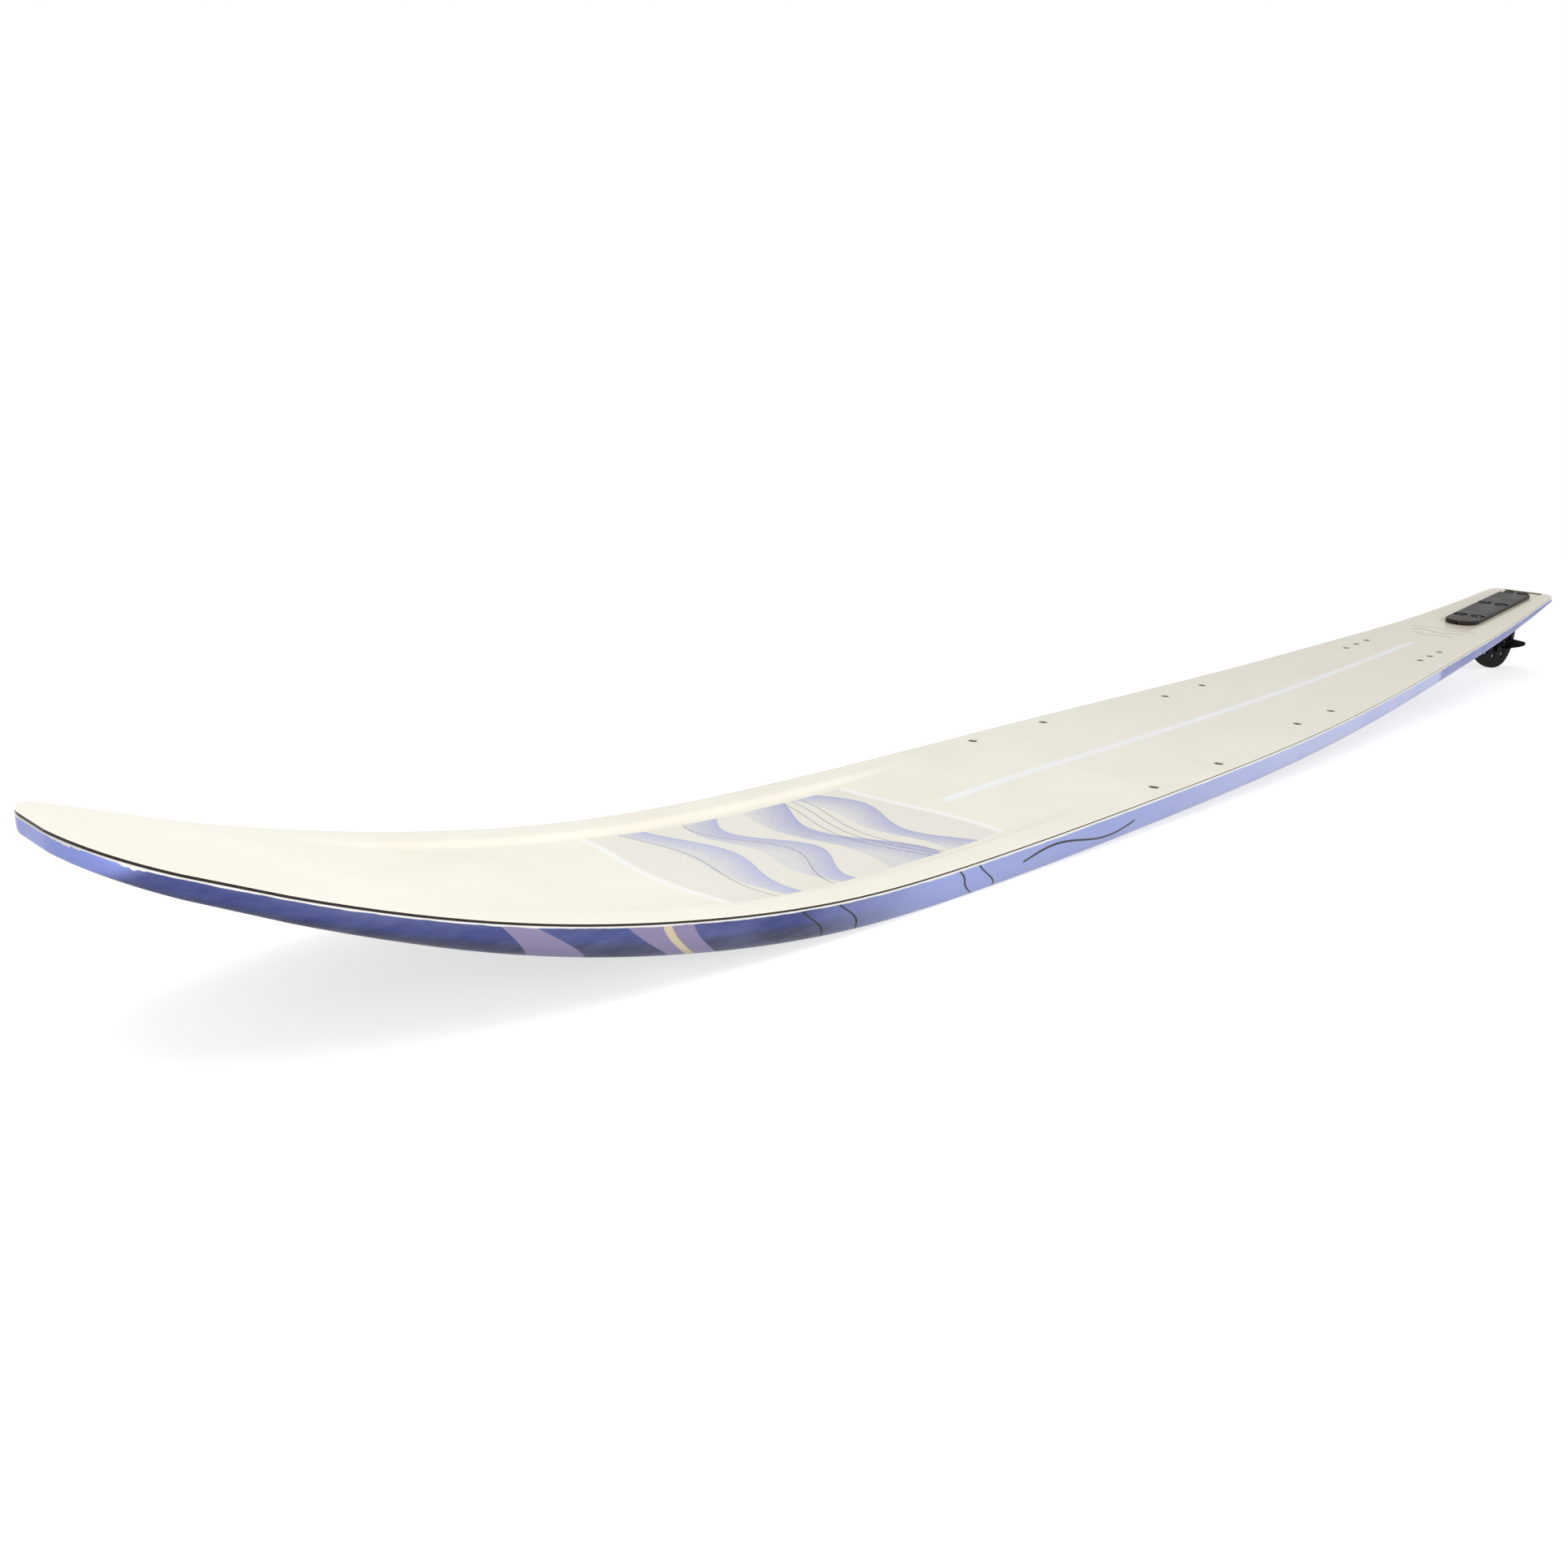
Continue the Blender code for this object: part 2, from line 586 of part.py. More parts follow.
length_hole_reach = PLATE_LENGTH / 2.0 + 0.004 - (CHEEK_FRONT - LENGTH_TRAVEL)
length_hole_x = PLATE_LENGTH / 2.0 + 0.004 - length_hole_reach / 2.0
LENGTH_SCREW_Z = 0.0021
along_x = Matrix.Rotation(math.radians(90.0), 4, "Y")
hole_rod = turned_mesh("length_hole", [(0.0, -length_hole_reach / 2.0),
                                       (LENGTH_SCREW_RADIUS + PLAY, -length_hole_reach / 2.0),
                                       (LENGTH_SCREW_RADIUS + PLAY, length_hole_reach / 2.0),
                                       (0.0, length_hole_reach / 2.0)], CUT_SEGMENTS)
hole_rod.transform(along_x)
length_hole = cutter("length_hole", hole_rod, plate_frame, (length_hole_x, 0.0, LENGTH_SCREW_Z))
for tool in (pockets, shank_holes, channel, lip_channel, length_hole):
    cut(fin_plate, tool)


# Deck screws of the plate, and the inserts that they bite into

HEAD_SEAT = PLATE_HEIGHT - POCKET_DEPTH + PLAY
screw_profile = [(0.0, -PLATE_SCREW_REACH), (PLATE_SCREW_SHANK * 0.75, -PLATE_SCREW_REACH),
                 (PLATE_SCREW_SHANK, -PLATE_SCREW_REACH + 0.0006), (PLATE_SCREW_SHANK, HEAD_SEAT),
                 (PLATE_SCREW_HEAD, HEAD_SEAT), (PLATE_SCREW_HEAD, HEAD_SEAT + 0.35 * PLATE_SCREW_HEAD_HEIGHT),
                 (PLATE_SCREW_HEAD * 0.72, HEAD_SEAT + 0.86 * PLATE_SCREW_HEAD_HEIGHT),
                 (PLATE_SCREW_HEAD * 0.35, HEAD_SEAT + PLATE_SCREW_HEAD_HEIGHT), (0.0, HEAD_SEAT + PLATE_SCREW_HEAD_HEIGHT)]
screw_mesh = turned_mesh("fin_plate_screw", screw_profile)
plate_insert_top = -SHELL_TOP
plate_insert_profile = [(0.0, -PLATE_INSERT_LENGTH - 0.0004), (PLATE_INSERT_RADIUS, -PLATE_INSERT_LENGTH - 0.0004),
                        (PLATE_INSERT_RADIUS, -PLAY), (PLATE_SCREW_SHANK + PLAY, -PLAY),
                        (PLATE_SCREW_SHANK + PLAY, -PLATE_SCREW_REACH - PLAY), (0.0, -PLATE_SCREW_REACH - PLAY)]
plate_insert_mesh = turned_mesh("fin_plate_insert", plate_insert_profile)
plate_well_depth = -PLATE_INSERT_LENGTH - 0.0004 - PLAY
plate_well_mesh = turned_mesh("plate_well", [(0.0, plate_well_depth), (PLATE_INSERT_RADIUS + PLAY, plate_well_depth),
                                             (PLATE_INSERT_RADIUS + PLAY, 0.006), (0.0, 0.006)], CUT_SEGMENTS)
for number, (x, y) in enumerate(screw_spots(), 1):
    place(f"fin_plate_screw_{number}", screw_mesh.copy(), BLACK_SCREW, plate_frame, (x, y, 0.0))
    place(f"fin_plate_insert_{number}", plate_insert_mesh.copy(), STEEL, plate_frame, (x, y, 0.0))
plate_wells = cutter("plate_wells", join_meshes("plate_wells", [(plate_well_mesh, spot) for spot in spots]),
                     plate_frame)
for skin in (top_sheet, laminate, core):
    cut(skin, plate_wells)


# Slot through the tail for the cheeks and the fin

slot_outline = [(x + (SLOT_REAR + SLOT_FRONT) / 2.0, y)
                for x, y in stadium(SLOT_FRONT - SLOT_REAR + 0.004, 2.0 * CHANNEL_HALF, 6)]
fin_slot = cutter("fin_slot", prism_mesh("fin_slot", slot_outline, -0.030, 0.012), plate_frame)
for skin in (top_sheet, laminate, core, base_shell):
    cut(skin, fin_slot)


# Clamp cheeks: two lipped bars that hang from the deck beside the slot and pinch the fin's tongue

BOLT_X = [CHEEK_SHIFT + step * BOLT_PITCH for step in (1.0, 0.0, -1.0)]
along_y = Matrix.Rotation(math.radians(-90.0), 4, "X")


def cheek(name, side):
    section = [(CHEEK_INNER, -CHEEK_BELOW), (CHEEK_OUTER, -CHEEK_BELOW), (CHEEK_OUTER, PLAY),
               (LIP_OUTER, PLAY), (LIP_OUTER, PLAY + LIP_HEIGHT), (CHEEK_OUTER, PLAY + LIP_HEIGHT),
               (CHEEK_OUTER, CHEEK_ABOVE), (CHEEK_INNER, CHEEK_ABOVE)]
    rings = [[(x, side * y, z) for y, z in section] for x in (CHEEK_REAR, CHEEK_FRONT)]
    bar = place(name, loft_mesh(name, rings), CHEEK_METAL, plate_frame)
    shank = turned_mesh("cheek_bolt_hole", [(0.0, -0.008), (BOLT_RADIUS + PLAY, -0.008),
                                            (BOLT_RADIUS + PLAY, 0.008), (0.0, 0.008)], CUT_SEGMENTS)
    sink_low = CHEEK_OUTER - BOLT_HEAD_HEIGHT - PLAY
    sink = turned_mesh("cheek_sink", [(0.0, sink_low), (BOLT_HEAD_RADIUS + PLAY, sink_low),
                                      (BOLT_HEAD_RADIUS + PLAY, CHEEK_OUTER + 0.003), (0.0, CHEEK_OUTER + 0.003)],
                       CUT_SEGMENTS)
    turn = along_y if side > 0.0 else Matrix.Rotation(math.radians(90.0), 4, "X")
    places = [Matrix.Translation((x, 0.0, -BOLT_DROP)) @ turn for x in BOLT_X]
    shanks = cutter(name + "_bolt_holes", join_meshes(name + "_bolt_holes", [(shank, m) for m in places]), plate_frame)
    sinks = cutter(name + "_sinks", join_meshes(name + "_sinks", [(sink, m) for m in places]), plate_frame)
    cut(bar, shanks)
    cut(bar, sinks)
    return bar


cheek("clamp_cheek_left", 1.0)
cheek("clamp_cheek_right", -1.0)

bolt_head_low = CHEEK_OUTER - BOLT_HEAD_HEIGHT
bolt_profile = [(0.0, -CHEEK_OUTER), (BOLT_RADIUS, -CHEEK_OUTER), (BOLT_RADIUS, bolt_head_low),
                (BOLT_HEAD_RADIUS, bolt_head_low), (BOLT_HEAD_RADIUS, CHEEK_OUTER), (0.0, CHEEK_OUTER)]
bolt_mesh = turned_mesh("clamp_bolt", bolt_profile)
bolt_mesh.transform(along_y)


def nut_mesh(name, bore, radius, low, high):
    """A hexagon nut on the fin's right face, as a short tube with six outer sides."""
    bm = bmesh.new()
    rings = []
    for size, level in ((bore, low), (radius, low), (radius, high), (bore, high)):
        rings.append([bm.verts.new((size * math.cos(math.radians(60.0 * i)), level,
                                    size * math.sin(math.radians(60.0 * i)))) for i in range(6)])
    for one, two in zip(rings, rings[1:] + rings[:1]):
        for i in range(6):
            j = (i + 1) % 6
            bm.faces.new((one[i], one[j], two[j], two[i]))
    return finish_mesh(name, bm)


clamp_nut = nut_mesh("clamp_nut", BOLT_RADIUS * 1.155 + PLAY, BOLT_HEAD_RADIUS, -CHEEK_OUTER, -bolt_head_low)
for number, x in enumerate(BOLT_X, 1):
    place(f"clamp_bolt_{number}", bolt_mesh.copy(), BLACK_SCREW, plate_frame, (x, 0.0, -BOLT_DROP))
    place(f"clamp_nut_{number}", clamp_nut.copy(), STEEL, plate_frame, (x, 0.0, -BOLT_DROP))


# Fore and aft adjusting screw: threaded in the plate's front end, it pushes the cheeks

screw_tip = CHEEK_FRONT + PLAY
screw_tail = PLATE_LENGTH / 2.0 - LENGTH_TRAVEL - 0.0015
length_profile = [(0.0, screw_tip), (LENGTH_SCREW_RADIUS * 0.7, screw_tip),
                  (LENGTH_SCREW_RADIUS, screw_tip + 0.0006), (LENGTH_SCREW_RADIUS, screw_tail), (0.0, screw_tail)]
length_mesh = turned_mesh("length_screw", length_profile)
length_mesh.transform(along_x)
place("length_screw", length_mesh, STEEL, plate_frame, (0.0, 0.0, LENGTH_SCREW_Z))


# Fin blade: two millimetre aluminium plate, its tongue in the clamp, its heel clear under the base

tongue_rear = CHEEK_REAR + 0.001
tongue_front = FIN_FRONT - TONGUE_SETBACK
blade_outline = [(tongue_front, TONGUE_TOP), (FIN_FRONT, TONGUE_FOOT)] + fin_edge + fin_heel_edge
blade_outline += [(FIN_HEEL, -FIN_HEEL_TOP - 0.003), (FIN_HEEL + 0.003, -FIN_HEEL_TOP),
                  (tongue_rear - 0.003, -FIN_HEEL_TOP), (tongue_rear, -FIN_HEEL_TOP + 0.003),
                  (tongue_rear, TONGUE_TOP)]
fin_blade = place("fin_blade", prism_mesh("fin_blade", blade_outline, -FIN_HALF, FIN_HALF, "XZ"),
                  BLACK_METAL, plate_frame)
hole_parts = []
fin_hole = turned_mesh("fin_hole", [(0.0, -0.004), (FIN_HOLE_RADIUS, -0.004), (FIN_HOLE_RADIUS, 0.004), (0.0, 0.004)],
                       18)
for x, z in FIN_HOLES:
    hole_parts.append((fin_hole, Matrix.Translation((x, 0.0, z)) @ along_y))
tongue_slot = prism_mesh("tongue_slot", [(z, x) for x, z in stadium(2.0 * (BOLT_RADIUS + PLAY + DEPTH_TRAVEL),
                                                                    2.0 * (BOLT_RADIUS + PLAY), 6)],
                         -0.004, 0.004, "XZ")
for x in BOLT_X:
    hole_parts.append((tongue_slot, Matrix.Translation((x, 0.0, -BOLT_DROP))))
wing_matrix = Matrix.Translation((WING_SCREW_X, 0.0, WING_SCREW_Z)) @ Matrix.Rotation(math.radians(WING_ANGLE), 4, "Y")
wing_hole = turned_mesh("wing_hole", [(0.0, -0.004), (WING_SCREW_RADIUS + PLAY, -0.004),
                                      (WING_SCREW_RADIUS + PLAY, 0.004), (0.0, 0.004)], CUT_SEGMENTS)
WING_SCREWS = [0.0, -WING_SCREW_PITCH]
for x in WING_SCREWS:
    hole_parts.append((wing_hole, wing_matrix @ Matrix.Translation((x, 0.0, 0.0)) @ along_y))
cut(fin_blade, cutter("fin_holes", join_meshes("fin_holes", hole_parts), plate_frame))


# Wings: one folded sheet on each face of the fin, a screwed leg and a swept blade

LEG_INNER = FIN_HALF + PLAY
LEG_OUTER = LEG_INNER + WING_SHEET


def wing(name, side):
    def flip(points):
        return [(x, side * y) for x, y in points]
    corner = 0.004
    leg = [(WING_REAR, WING_FOLD), (WING_FRONT - corner, WING_FOLD), (WING_FRONT, WING_FOLD + corner),
           (WING_FRONT, WING_TOP - corner), (WING_FRONT - corner, WING_TOP), (WING_REAR + corner, WING_TOP),
           (WING_REAR, WING_TOP - corner)]
    low = side * LEG_INNER
    high = side * LEG_OUTER
    leg_mesh = prism_mesh(name, leg, min(low, high), max(low, high), "XZ")
    made = place(name, leg_mesh, BLACK_METAL, wing_frame)
    tip = LEG_OUTER + WING_SPAN
    tip_rear = WING_REAR + 0.004
    plan = [(WING_REAR, LEG_INNER + 0.0002), (WING_ROOT_FRONT, LEG_INNER + 0.0002), (WING_ROOT_FRONT, LEG_OUTER + 0.001)]
    plan += [(WING_TIP_FRONT + 0.004, tip - 0.004), (WING_TIP_FRONT, tip - 0.0012)]
    plan += [(WING_TIP_FRONT - 0.003, tip), (tip_rear + WING_TIP_RADIUS, tip)]
    plan += arc((tip_rear + WING_TIP_RADIUS, tip - WING_TIP_RADIUS), WING_TIP_RADIUS, 112.0, 180.0, 3)
    plan += [(WING_REAR, LEG_OUTER + 0.003)]
    blade = cutter(name + "_blade", prism_mesh(name + "_blade", flip(plan), WING_FOLD, WING_FOLD + WING_SHEET),
                   wing_frame)
    cut(made, blade, "UNION")
    pivot = turned_mesh("wing_pivot_hole", [(0.0, -0.006), (WING_SCREW_RADIUS + PLAY, -0.006),
                                            (WING_SCREW_RADIUS + PLAY, 0.006), (0.0, 0.006)], CUT_SEGMENTS)
    swing = WING_SCREW_PITCH * math.sin(math.radians(WING_TRAVEL)) + PLAY
    slot = prism_mesh("wing_slot", [(z, x) for x, z in stadium(2.0 * (WING_SCREW_RADIUS + PLAY + swing),
                                                               2.0 * (WING_SCREW_RADIUS + PLAY), 6)],
                      -0.006, 0.006, "XZ")
    holes = join_meshes(name + "_holes", [(pivot, along_y), (slot, Matrix.Translation((-WING_SCREW_PITCH, 0.0, 0.0)))])
    cut(made, cutter(name + "_holes", holes, wing_frame))
    return made


wing("wing_left", 1.0)
wing("wing_right", -1.0)

head_low = LEG_OUTER + PLAY
head_high = head_low + WING_SCREW_HEAD_HEIGHT
wing_screw_profile = [(0.0, -head_high), (WING_SCREW_RADIUS, -head_high), (WING_SCREW_RADIUS, head_low),
                      (WING_SCREW_HEAD, head_low), (WING_SCREW_HEAD, head_low + 0.5 * WING_SCREW_HEAD_HEIGHT),
                      (WING_SCREW_HEAD * 0.6, head_high), (0.0, head_high)]
wing_screw_mesh = turned_mesh("wing_screw", wing_screw_profile)
wing_screw_mesh.transform(along_y)
wing_nut = nut_mesh("wing_nut", WING_SCREW_RADIUS * 1.155 + PLAY, WING_SCREW_HEAD, -head_high + 0.0002, -head_low)
for label, x in (("front", WING_SCREWS[0]), ("rear", WING_SCREWS[1])):
    place(f"wing_screw_{label}", wing_screw_mesh.copy(), BLACK_SCREW, wing_frame, (x, 0.0, 0.0))
    place(f"wing_nut_{label}", wing_nut.copy(), BLACK_SCREW, wing_frame, (x, 0.0, 0.0))


# Stand the whole ski on the ground, with its box centred on the origin

bpy.context.view_layer.update()
graph = bpy.context.evaluated_depsgraph_get()
corners = []
for made in bpy.context.scene.objects:
    if made.type == "MESH" and not made.hide_render:
        shape = made.evaluated_get(graph)
        corners += [shape.matrix_world @ vertex.co for vertex in shape.data.vertices]
xs = [corner.x for corner in corners]
zs = [corner.z for corner in corners]
stand.location = (-(min(xs) + max(xs)) / 2.0, 0.0, -min(zs))
bpy.context.view_layer.update()
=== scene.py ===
import json
import math

import bpy
import bmesh
import numpy as np
from mathutils import Matrix, Vector


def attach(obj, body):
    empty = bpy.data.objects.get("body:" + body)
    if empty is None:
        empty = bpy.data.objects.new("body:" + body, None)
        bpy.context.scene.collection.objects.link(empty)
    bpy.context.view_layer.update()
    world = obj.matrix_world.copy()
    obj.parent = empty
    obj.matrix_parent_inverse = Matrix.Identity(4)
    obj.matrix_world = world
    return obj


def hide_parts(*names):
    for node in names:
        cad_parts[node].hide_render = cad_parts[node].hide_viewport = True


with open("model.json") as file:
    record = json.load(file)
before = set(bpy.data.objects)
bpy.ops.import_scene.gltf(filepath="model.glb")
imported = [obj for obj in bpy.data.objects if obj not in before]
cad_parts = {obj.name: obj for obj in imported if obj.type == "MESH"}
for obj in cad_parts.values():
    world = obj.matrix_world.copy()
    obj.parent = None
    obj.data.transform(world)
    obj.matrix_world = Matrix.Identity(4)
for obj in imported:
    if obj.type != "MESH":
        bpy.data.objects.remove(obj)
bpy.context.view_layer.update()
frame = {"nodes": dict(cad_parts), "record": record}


# Base shell: the ski's sides and running surface, one moulded skin of printed film over glass cloth.
# It is laid in the lower half of the mould, and its raw upper rim is trimmed by hand, which leaves a
# white and slightly uneven line above the print.

LENGTH = 1.620
NOSE_ROUND = 0.060
NOSE_POWER = 5.2
NOSE_BLUNT = 0.0009
TAIL_ROUND = 0.014
TAIL_CORNER = 0.012
OUTLINE = [(0.0, 0.0330), (0.123, 0.0447), (0.247, 0.0579), (0.370, 0.0705), (0.494, 0.0800),
           (0.617, 0.0828), (0.741, 0.0826), (0.802, 0.0812), (0.864, 0.0755), (0.926, 0.0652),
           (0.963, 0.0533), (1.0, 0.0405)]
ROCKER = [(0.0, 0.0290), (0.123, 0.0147), (0.247, 0.0069), (0.370, 0.0014), (0.494, -0.0002),
          (0.617, 0.0010), (0.741, 0.0042), (0.802, 0.0098), (0.864, 0.0245), (0.926, 0.0495),
          (0.963, 0.0705), (1.0, 0.0961)]
EDGE_DEPTH = [(0.0, 0.0068), (0.062, 0.0105), (0.185, 0.0138), (0.400, 0.0168), (0.617, 0.0184),
              (0.802, 0.0179), (0.895, 0.0155), (0.963, 0.0110), (1.0, 0.0084)]
RAIL = 0.009
TUNNEL = 0.0042
BASE_BEVEL = 0.0040
NOSE_BEVEL = 0.0016
TUNNEL_START = (0.10, 0.32)
TUNNEL_END = (0.95, 0.78)
NOSE_BEVEL_RUN = (0.935, 0.985)


def spline(stations):
    """A natural cubic through (share of the length, size) stations, read at a place in metres."""
    xs = np.array([share * LENGTH for share, size in stations])
    ys = np.array([size for share, size in stations])
    step = np.diff(xs)
    count = len(xs)
    matrix = np.eye(count)
    right = np.zeros(count)
    for i in range(1, count - 1):
        matrix[i, i - 1] = step[i - 1]
        matrix[i, i] = 2.0 * (step[i - 1] + step[i])
        matrix[i, i + 1] = step[i]
        right[i] = 6.0 * ((ys[i + 1] - ys[i]) / step[i] - (ys[i] - ys[i - 1]) / step[i - 1])
    bend = np.linalg.solve(matrix, right)

    def read(x):
        i = int(np.clip(np.searchsorted(xs, x) - 1, 0, count - 2))
        a = (xs[i + 1] - x) / step[i]
        b = (x - xs[i]) / step[i]
        cubic = (a ** 3 - a) * bend[i] + (b ** 3 - b) * bend[i + 1]
        return float(a * ys[i] + b * ys[i + 1] + cubic * step[i] ** 2 / 6.0)
    return read


outline_at = spline(OUTLINE)
rocker_at = spline(ROCKER)
edge_depth_at = spline(EDGE_DEPTH)


def ease(start, end, x):
    """A smooth step: 0 at start, 1 at end."""
    share = min(max((x - start) / (end - start), 0.0), 1.0)
    return share * share * (3.0 - 2.0 * share)


def quarter(steps, first=1):
    """The sine and cosine of each step of a quarter turn."""
    turns = [math.radians(90.0 * i / steps) for i in range(first, steps + 1)]
    return [(math.sin(turn), math.cos(turn)) for turn in turns]


def half_width(x):
    width = outline_at(x)
    from_nose = (x - (LENGTH - NOSE_ROUND)) / (NOSE_ROUND + NOSE_BLUNT)
    if from_nose > 0.0:
        width *= math.sqrt(max(1.0 - from_nose ** NOSE_POWER, 0.0))
    from_tail = (TAIL_ROUND - x) / TAIL_ROUND
    if from_tail > 0.0:
        width -= TAIL_CORNER * (1.0 - math.sqrt(max(1.0 - from_tail ** 2, 0.0)))
    return width


def tunnel_at(x):
    return TUNNEL * ease(*TUNNEL_START, x) * ease(*TUNNEL_END, x / LENGTH)


def bevel_at(x):
    """How far the base's edge stands in from the deck's: less at the nose, where the side is steep."""
    return BASE_BEVEL + (NOSE_BEVEL - BASE_BEVEL) * ease(*NOSE_BEVEL_RUN, x / LENGTH)


# The fin plate's seat, and from it and the record's joints the tilt at which the ski stands
SEAT_DEPTH = 0.0012
PLATE_REAR = 0.019
PLATE_LENGTH = 0.200
PLATE_FRONT = PLATE_REAR + PLATE_LENGTH
PLATE_MIDDLE = PLATE_REAR + PLATE_LENGTH / 2.0
SEAT_SLOPE = (rocker_at(PLATE_FRONT) - rocker_at(PLATE_REAR)) / PLATE_LENGTH
SEAT_HEIGHT = (rocker_at(PLATE_REAR) + rocker_at(PLATE_FRONT)) / 2.0 - SEAT_DEPTH
WING_PIVOT = (-0.0640, -0.0500)

joints = {joint["name"]: joint for joint in frame["record"]["behaviour"]["joints"]}
fin_line = joints["fin_length"]["axis"]
wing_pivot = joints["wing_angle"]["pos_m"]
seat_pitch = -math.atan(SEAT_SLOPE)
stand_pitch = math.atan2(-fin_line[2], fin_line[0]) - seat_pitch
seat_middle = Matrix.Translation((PLATE_MIDDLE, 0.0, SEAT_HEIGHT))
plate_in_board = seat_middle @ Matrix.Rotation(seat_pitch, 4, "Y")
tilt = Matrix.Rotation(stand_pitch, 4, "Y")
pivot_in_board = plate_in_board @ Vector((WING_PIVOT[0], 0.0, WING_PIVOT[1]))
board = Matrix.Translation(Vector(wing_pivot) - tilt @ pivot_in_board) @ tilt
plate = board @ plate_in_board

TAIL_ROWS = 10
MIDDLE_ROWS = 150
NOSE_ROWS = 22
NOSE_FAN = (8.0, 62.6)
NOSE_GAP = 0.004
TIP_GAP = 0.0006


def rows_along():
    """Places of the rows: close together round the tail's corners and the nose."""
    tail = [TAIL_ROUND * (1.0 - cosine) for sine, cosine in quarter(TAIL_ROWS)]
    middle = [TAIL_ROUND + (LENGTH - NOSE_ROUND - TAIL_ROUND) * i / MIDDLE_ROWS for i in range(1, MIDDLE_ROWS + 1)]
    nose = []
    for i in range(1, NOSE_ROWS + 1):
        reach = math.sin(math.radians(NOSE_FAN[0] + NOSE_FAN[1] * i / NOSE_ROWS)) ** (2.0 / NOSE_POWER)
        nose.append(LENGTH - NOSE_ROUND + (NOSE_ROUND + NOSE_BLUNT) * reach)
    middle = [x for x in middle if x < nose[0] - NOSE_GAP]
    nose = [x for x in nose if x < LENGTH - TIP_GAP]
    return [0.0] + tail + middle + nose + [LENGTH]


ROWS = rows_along()
SEAT_HALF = 0.0190
SEAT_WALL = 0.0022
TROUGH_RIM = 0.0155
TROUGH_WALL = 0.0070


def columns_across(x):
    """Marks from the centre line to the edge: the seat, its wall, the flat, the trough wall, the rim."""
    width = half_width(x)
    seat = min(SEAT_HALF, 0.78 * width)
    wall = min(SEAT_HALF + SEAT_WALL, 0.84 * width)
    floor = max(width - TROUGH_RIM - TROUGH_WALL, wall + 0.03 * width)
    rim = max(width - TROUGH_RIM, floor + 0.03 * width)
    marks = [0.0, 0.1 * seat, 0.5 * seat, 0.92 * seat]
    marks += [seat + (wall - seat) * i / 6.0 for i in range(7)]
    marks += [wall + (floor - wall) * i / 3.0 for i in (1, 2)]
    marks += [floor + (rim - floor) * i / 8.0 for i in range(9)]
    marks += [rim + (width - rim) * i / 3.0 for i in (1, 2)]
    return [mark / width for mark in marks] + [1.0], (seat, wall, floor, rim)


COLUMNS = [columns_across(x) for x in ROWS]
HALF = len(COLUMNS[0][0]) - 1
ACROSS = 2 * HALF


def share_at(i, j):
    shares = COLUMNS[i][0]
    return shares[j - HALF] if j >= HALF else -shares[HALF - j]


def outward(i):
    """The direction square to the outline in plan, on the left edge of row i."""
    if i == 0 or i == len(ROWS) - 1:
        return (-1.0 if i == 0 else 1.0, 0.0)
    x, width = ROWS[i], half_width(ROWS[i])
    back, ahead = ROWS[i - 1], ROWS[i + 1]
    into = Vector((x - back, width - half_width(back))).normalized()
    out = Vector((ahead - x, half_width(ahead) - width)).normalized()
    along = (into + out).normalized()
    return (-along.y, along.x)


def body_point(i, j, offset, height):
    """A point of row i and column j on an outline pushed out by offset(x), at a height of (x, share).
    Nothing is pushed out past the ski's two ends."""
    x = ROWS[i]
    width = half_width(x)
    nx, ny = outward(i)
    share = share_at(i, j)
    offset = offset(x)
    at_x = x + min(offset, 0.0) * nx
    at_y = share * (width + offset * ny)
    return (at_x, at_y, height(min(max(at_x, 0.0), LENGTH), i, share))


def closed_mesh(bm, name, matrix=Matrix.Identity(4)):
    """A bmesh as a mesh in its place, with its faces turned outwards."""
    bmesh.ops.recalc_face_normals(bm, faces=bm.faces)
    mesh = bpy.data.meshes.new(name)
    bm.to_mesh(mesh)
    bm.free()
    mesh.transform(matrix)
    return mesh


def board_body(name, loops, upper, lower):
    """A closed body: an upper sheet, loops of (offset, height) down its edge, and a lower sheet.
    Its UV map holds the place along the ski and the way down from the deck's edge, in metres."""
    bm = bmesh.new()
    down = bm.verts.layers.float.new("down")
    last = len(ROWS) - 1
    border = [(0, j) for j in range(ACROSS)] + [(i, ACROSS) for i in range(last)]
    border += [(last, j) for j in range(ACROSS, 0, -1)] + [(i, 0) for i in range(last, 0, -1)]

    def sheet(offset, height):
        made = {}
        for i in range(last + 1):
            for j in range(ACROSS + 1):
                made[i, j] = bm.verts.new(body_point(i, j, offset, height))
        for i in range(last):
            for j in range(ACROSS):
                bm.faces.new((made[i, j], made[i + 1, j], made[i + 1, j + 1], made[i, j + 1]))
        return made

    top = sheet(loops[0][0], upper)
    rings = [[top[place] for place in border]]
    for offset, height in loops[1:-1]:
        rings.append([bm.verts.new(body_point(i, j, offset, height)) for i, j in border])
    bottom = sheet(loops[-1][0], lower)
    rings.append([bottom[place] for place in border])
    for k in range(len(rings) - 1):
        for n in range(len(border)):
            m = (n + 1) % len(border)
            bm.faces.new((rings[k][n], rings[k][m], rings[k + 1][m], rings[k + 1][n]))
    for vert in bm.verts:
        vert[down] = rocker_at(min(max(vert.co.x, 0.0), LENGTH)) - vert.co.z
    uv = bm.loops.layers.uv.new("edge")
    for face in bm.faces:
        for loop in face.loops:
            loop[uv].uv = (loop.vert.co.x, loop.vert[down])
    return closed_mesh(bm, name, board)


def placed(name, data):
    """A mesh, lamp or camera as an object in the scene."""
    made = bpy.data.objects.new(name, data)
    bpy.context.scene.collection.objects.link(made)
    return made


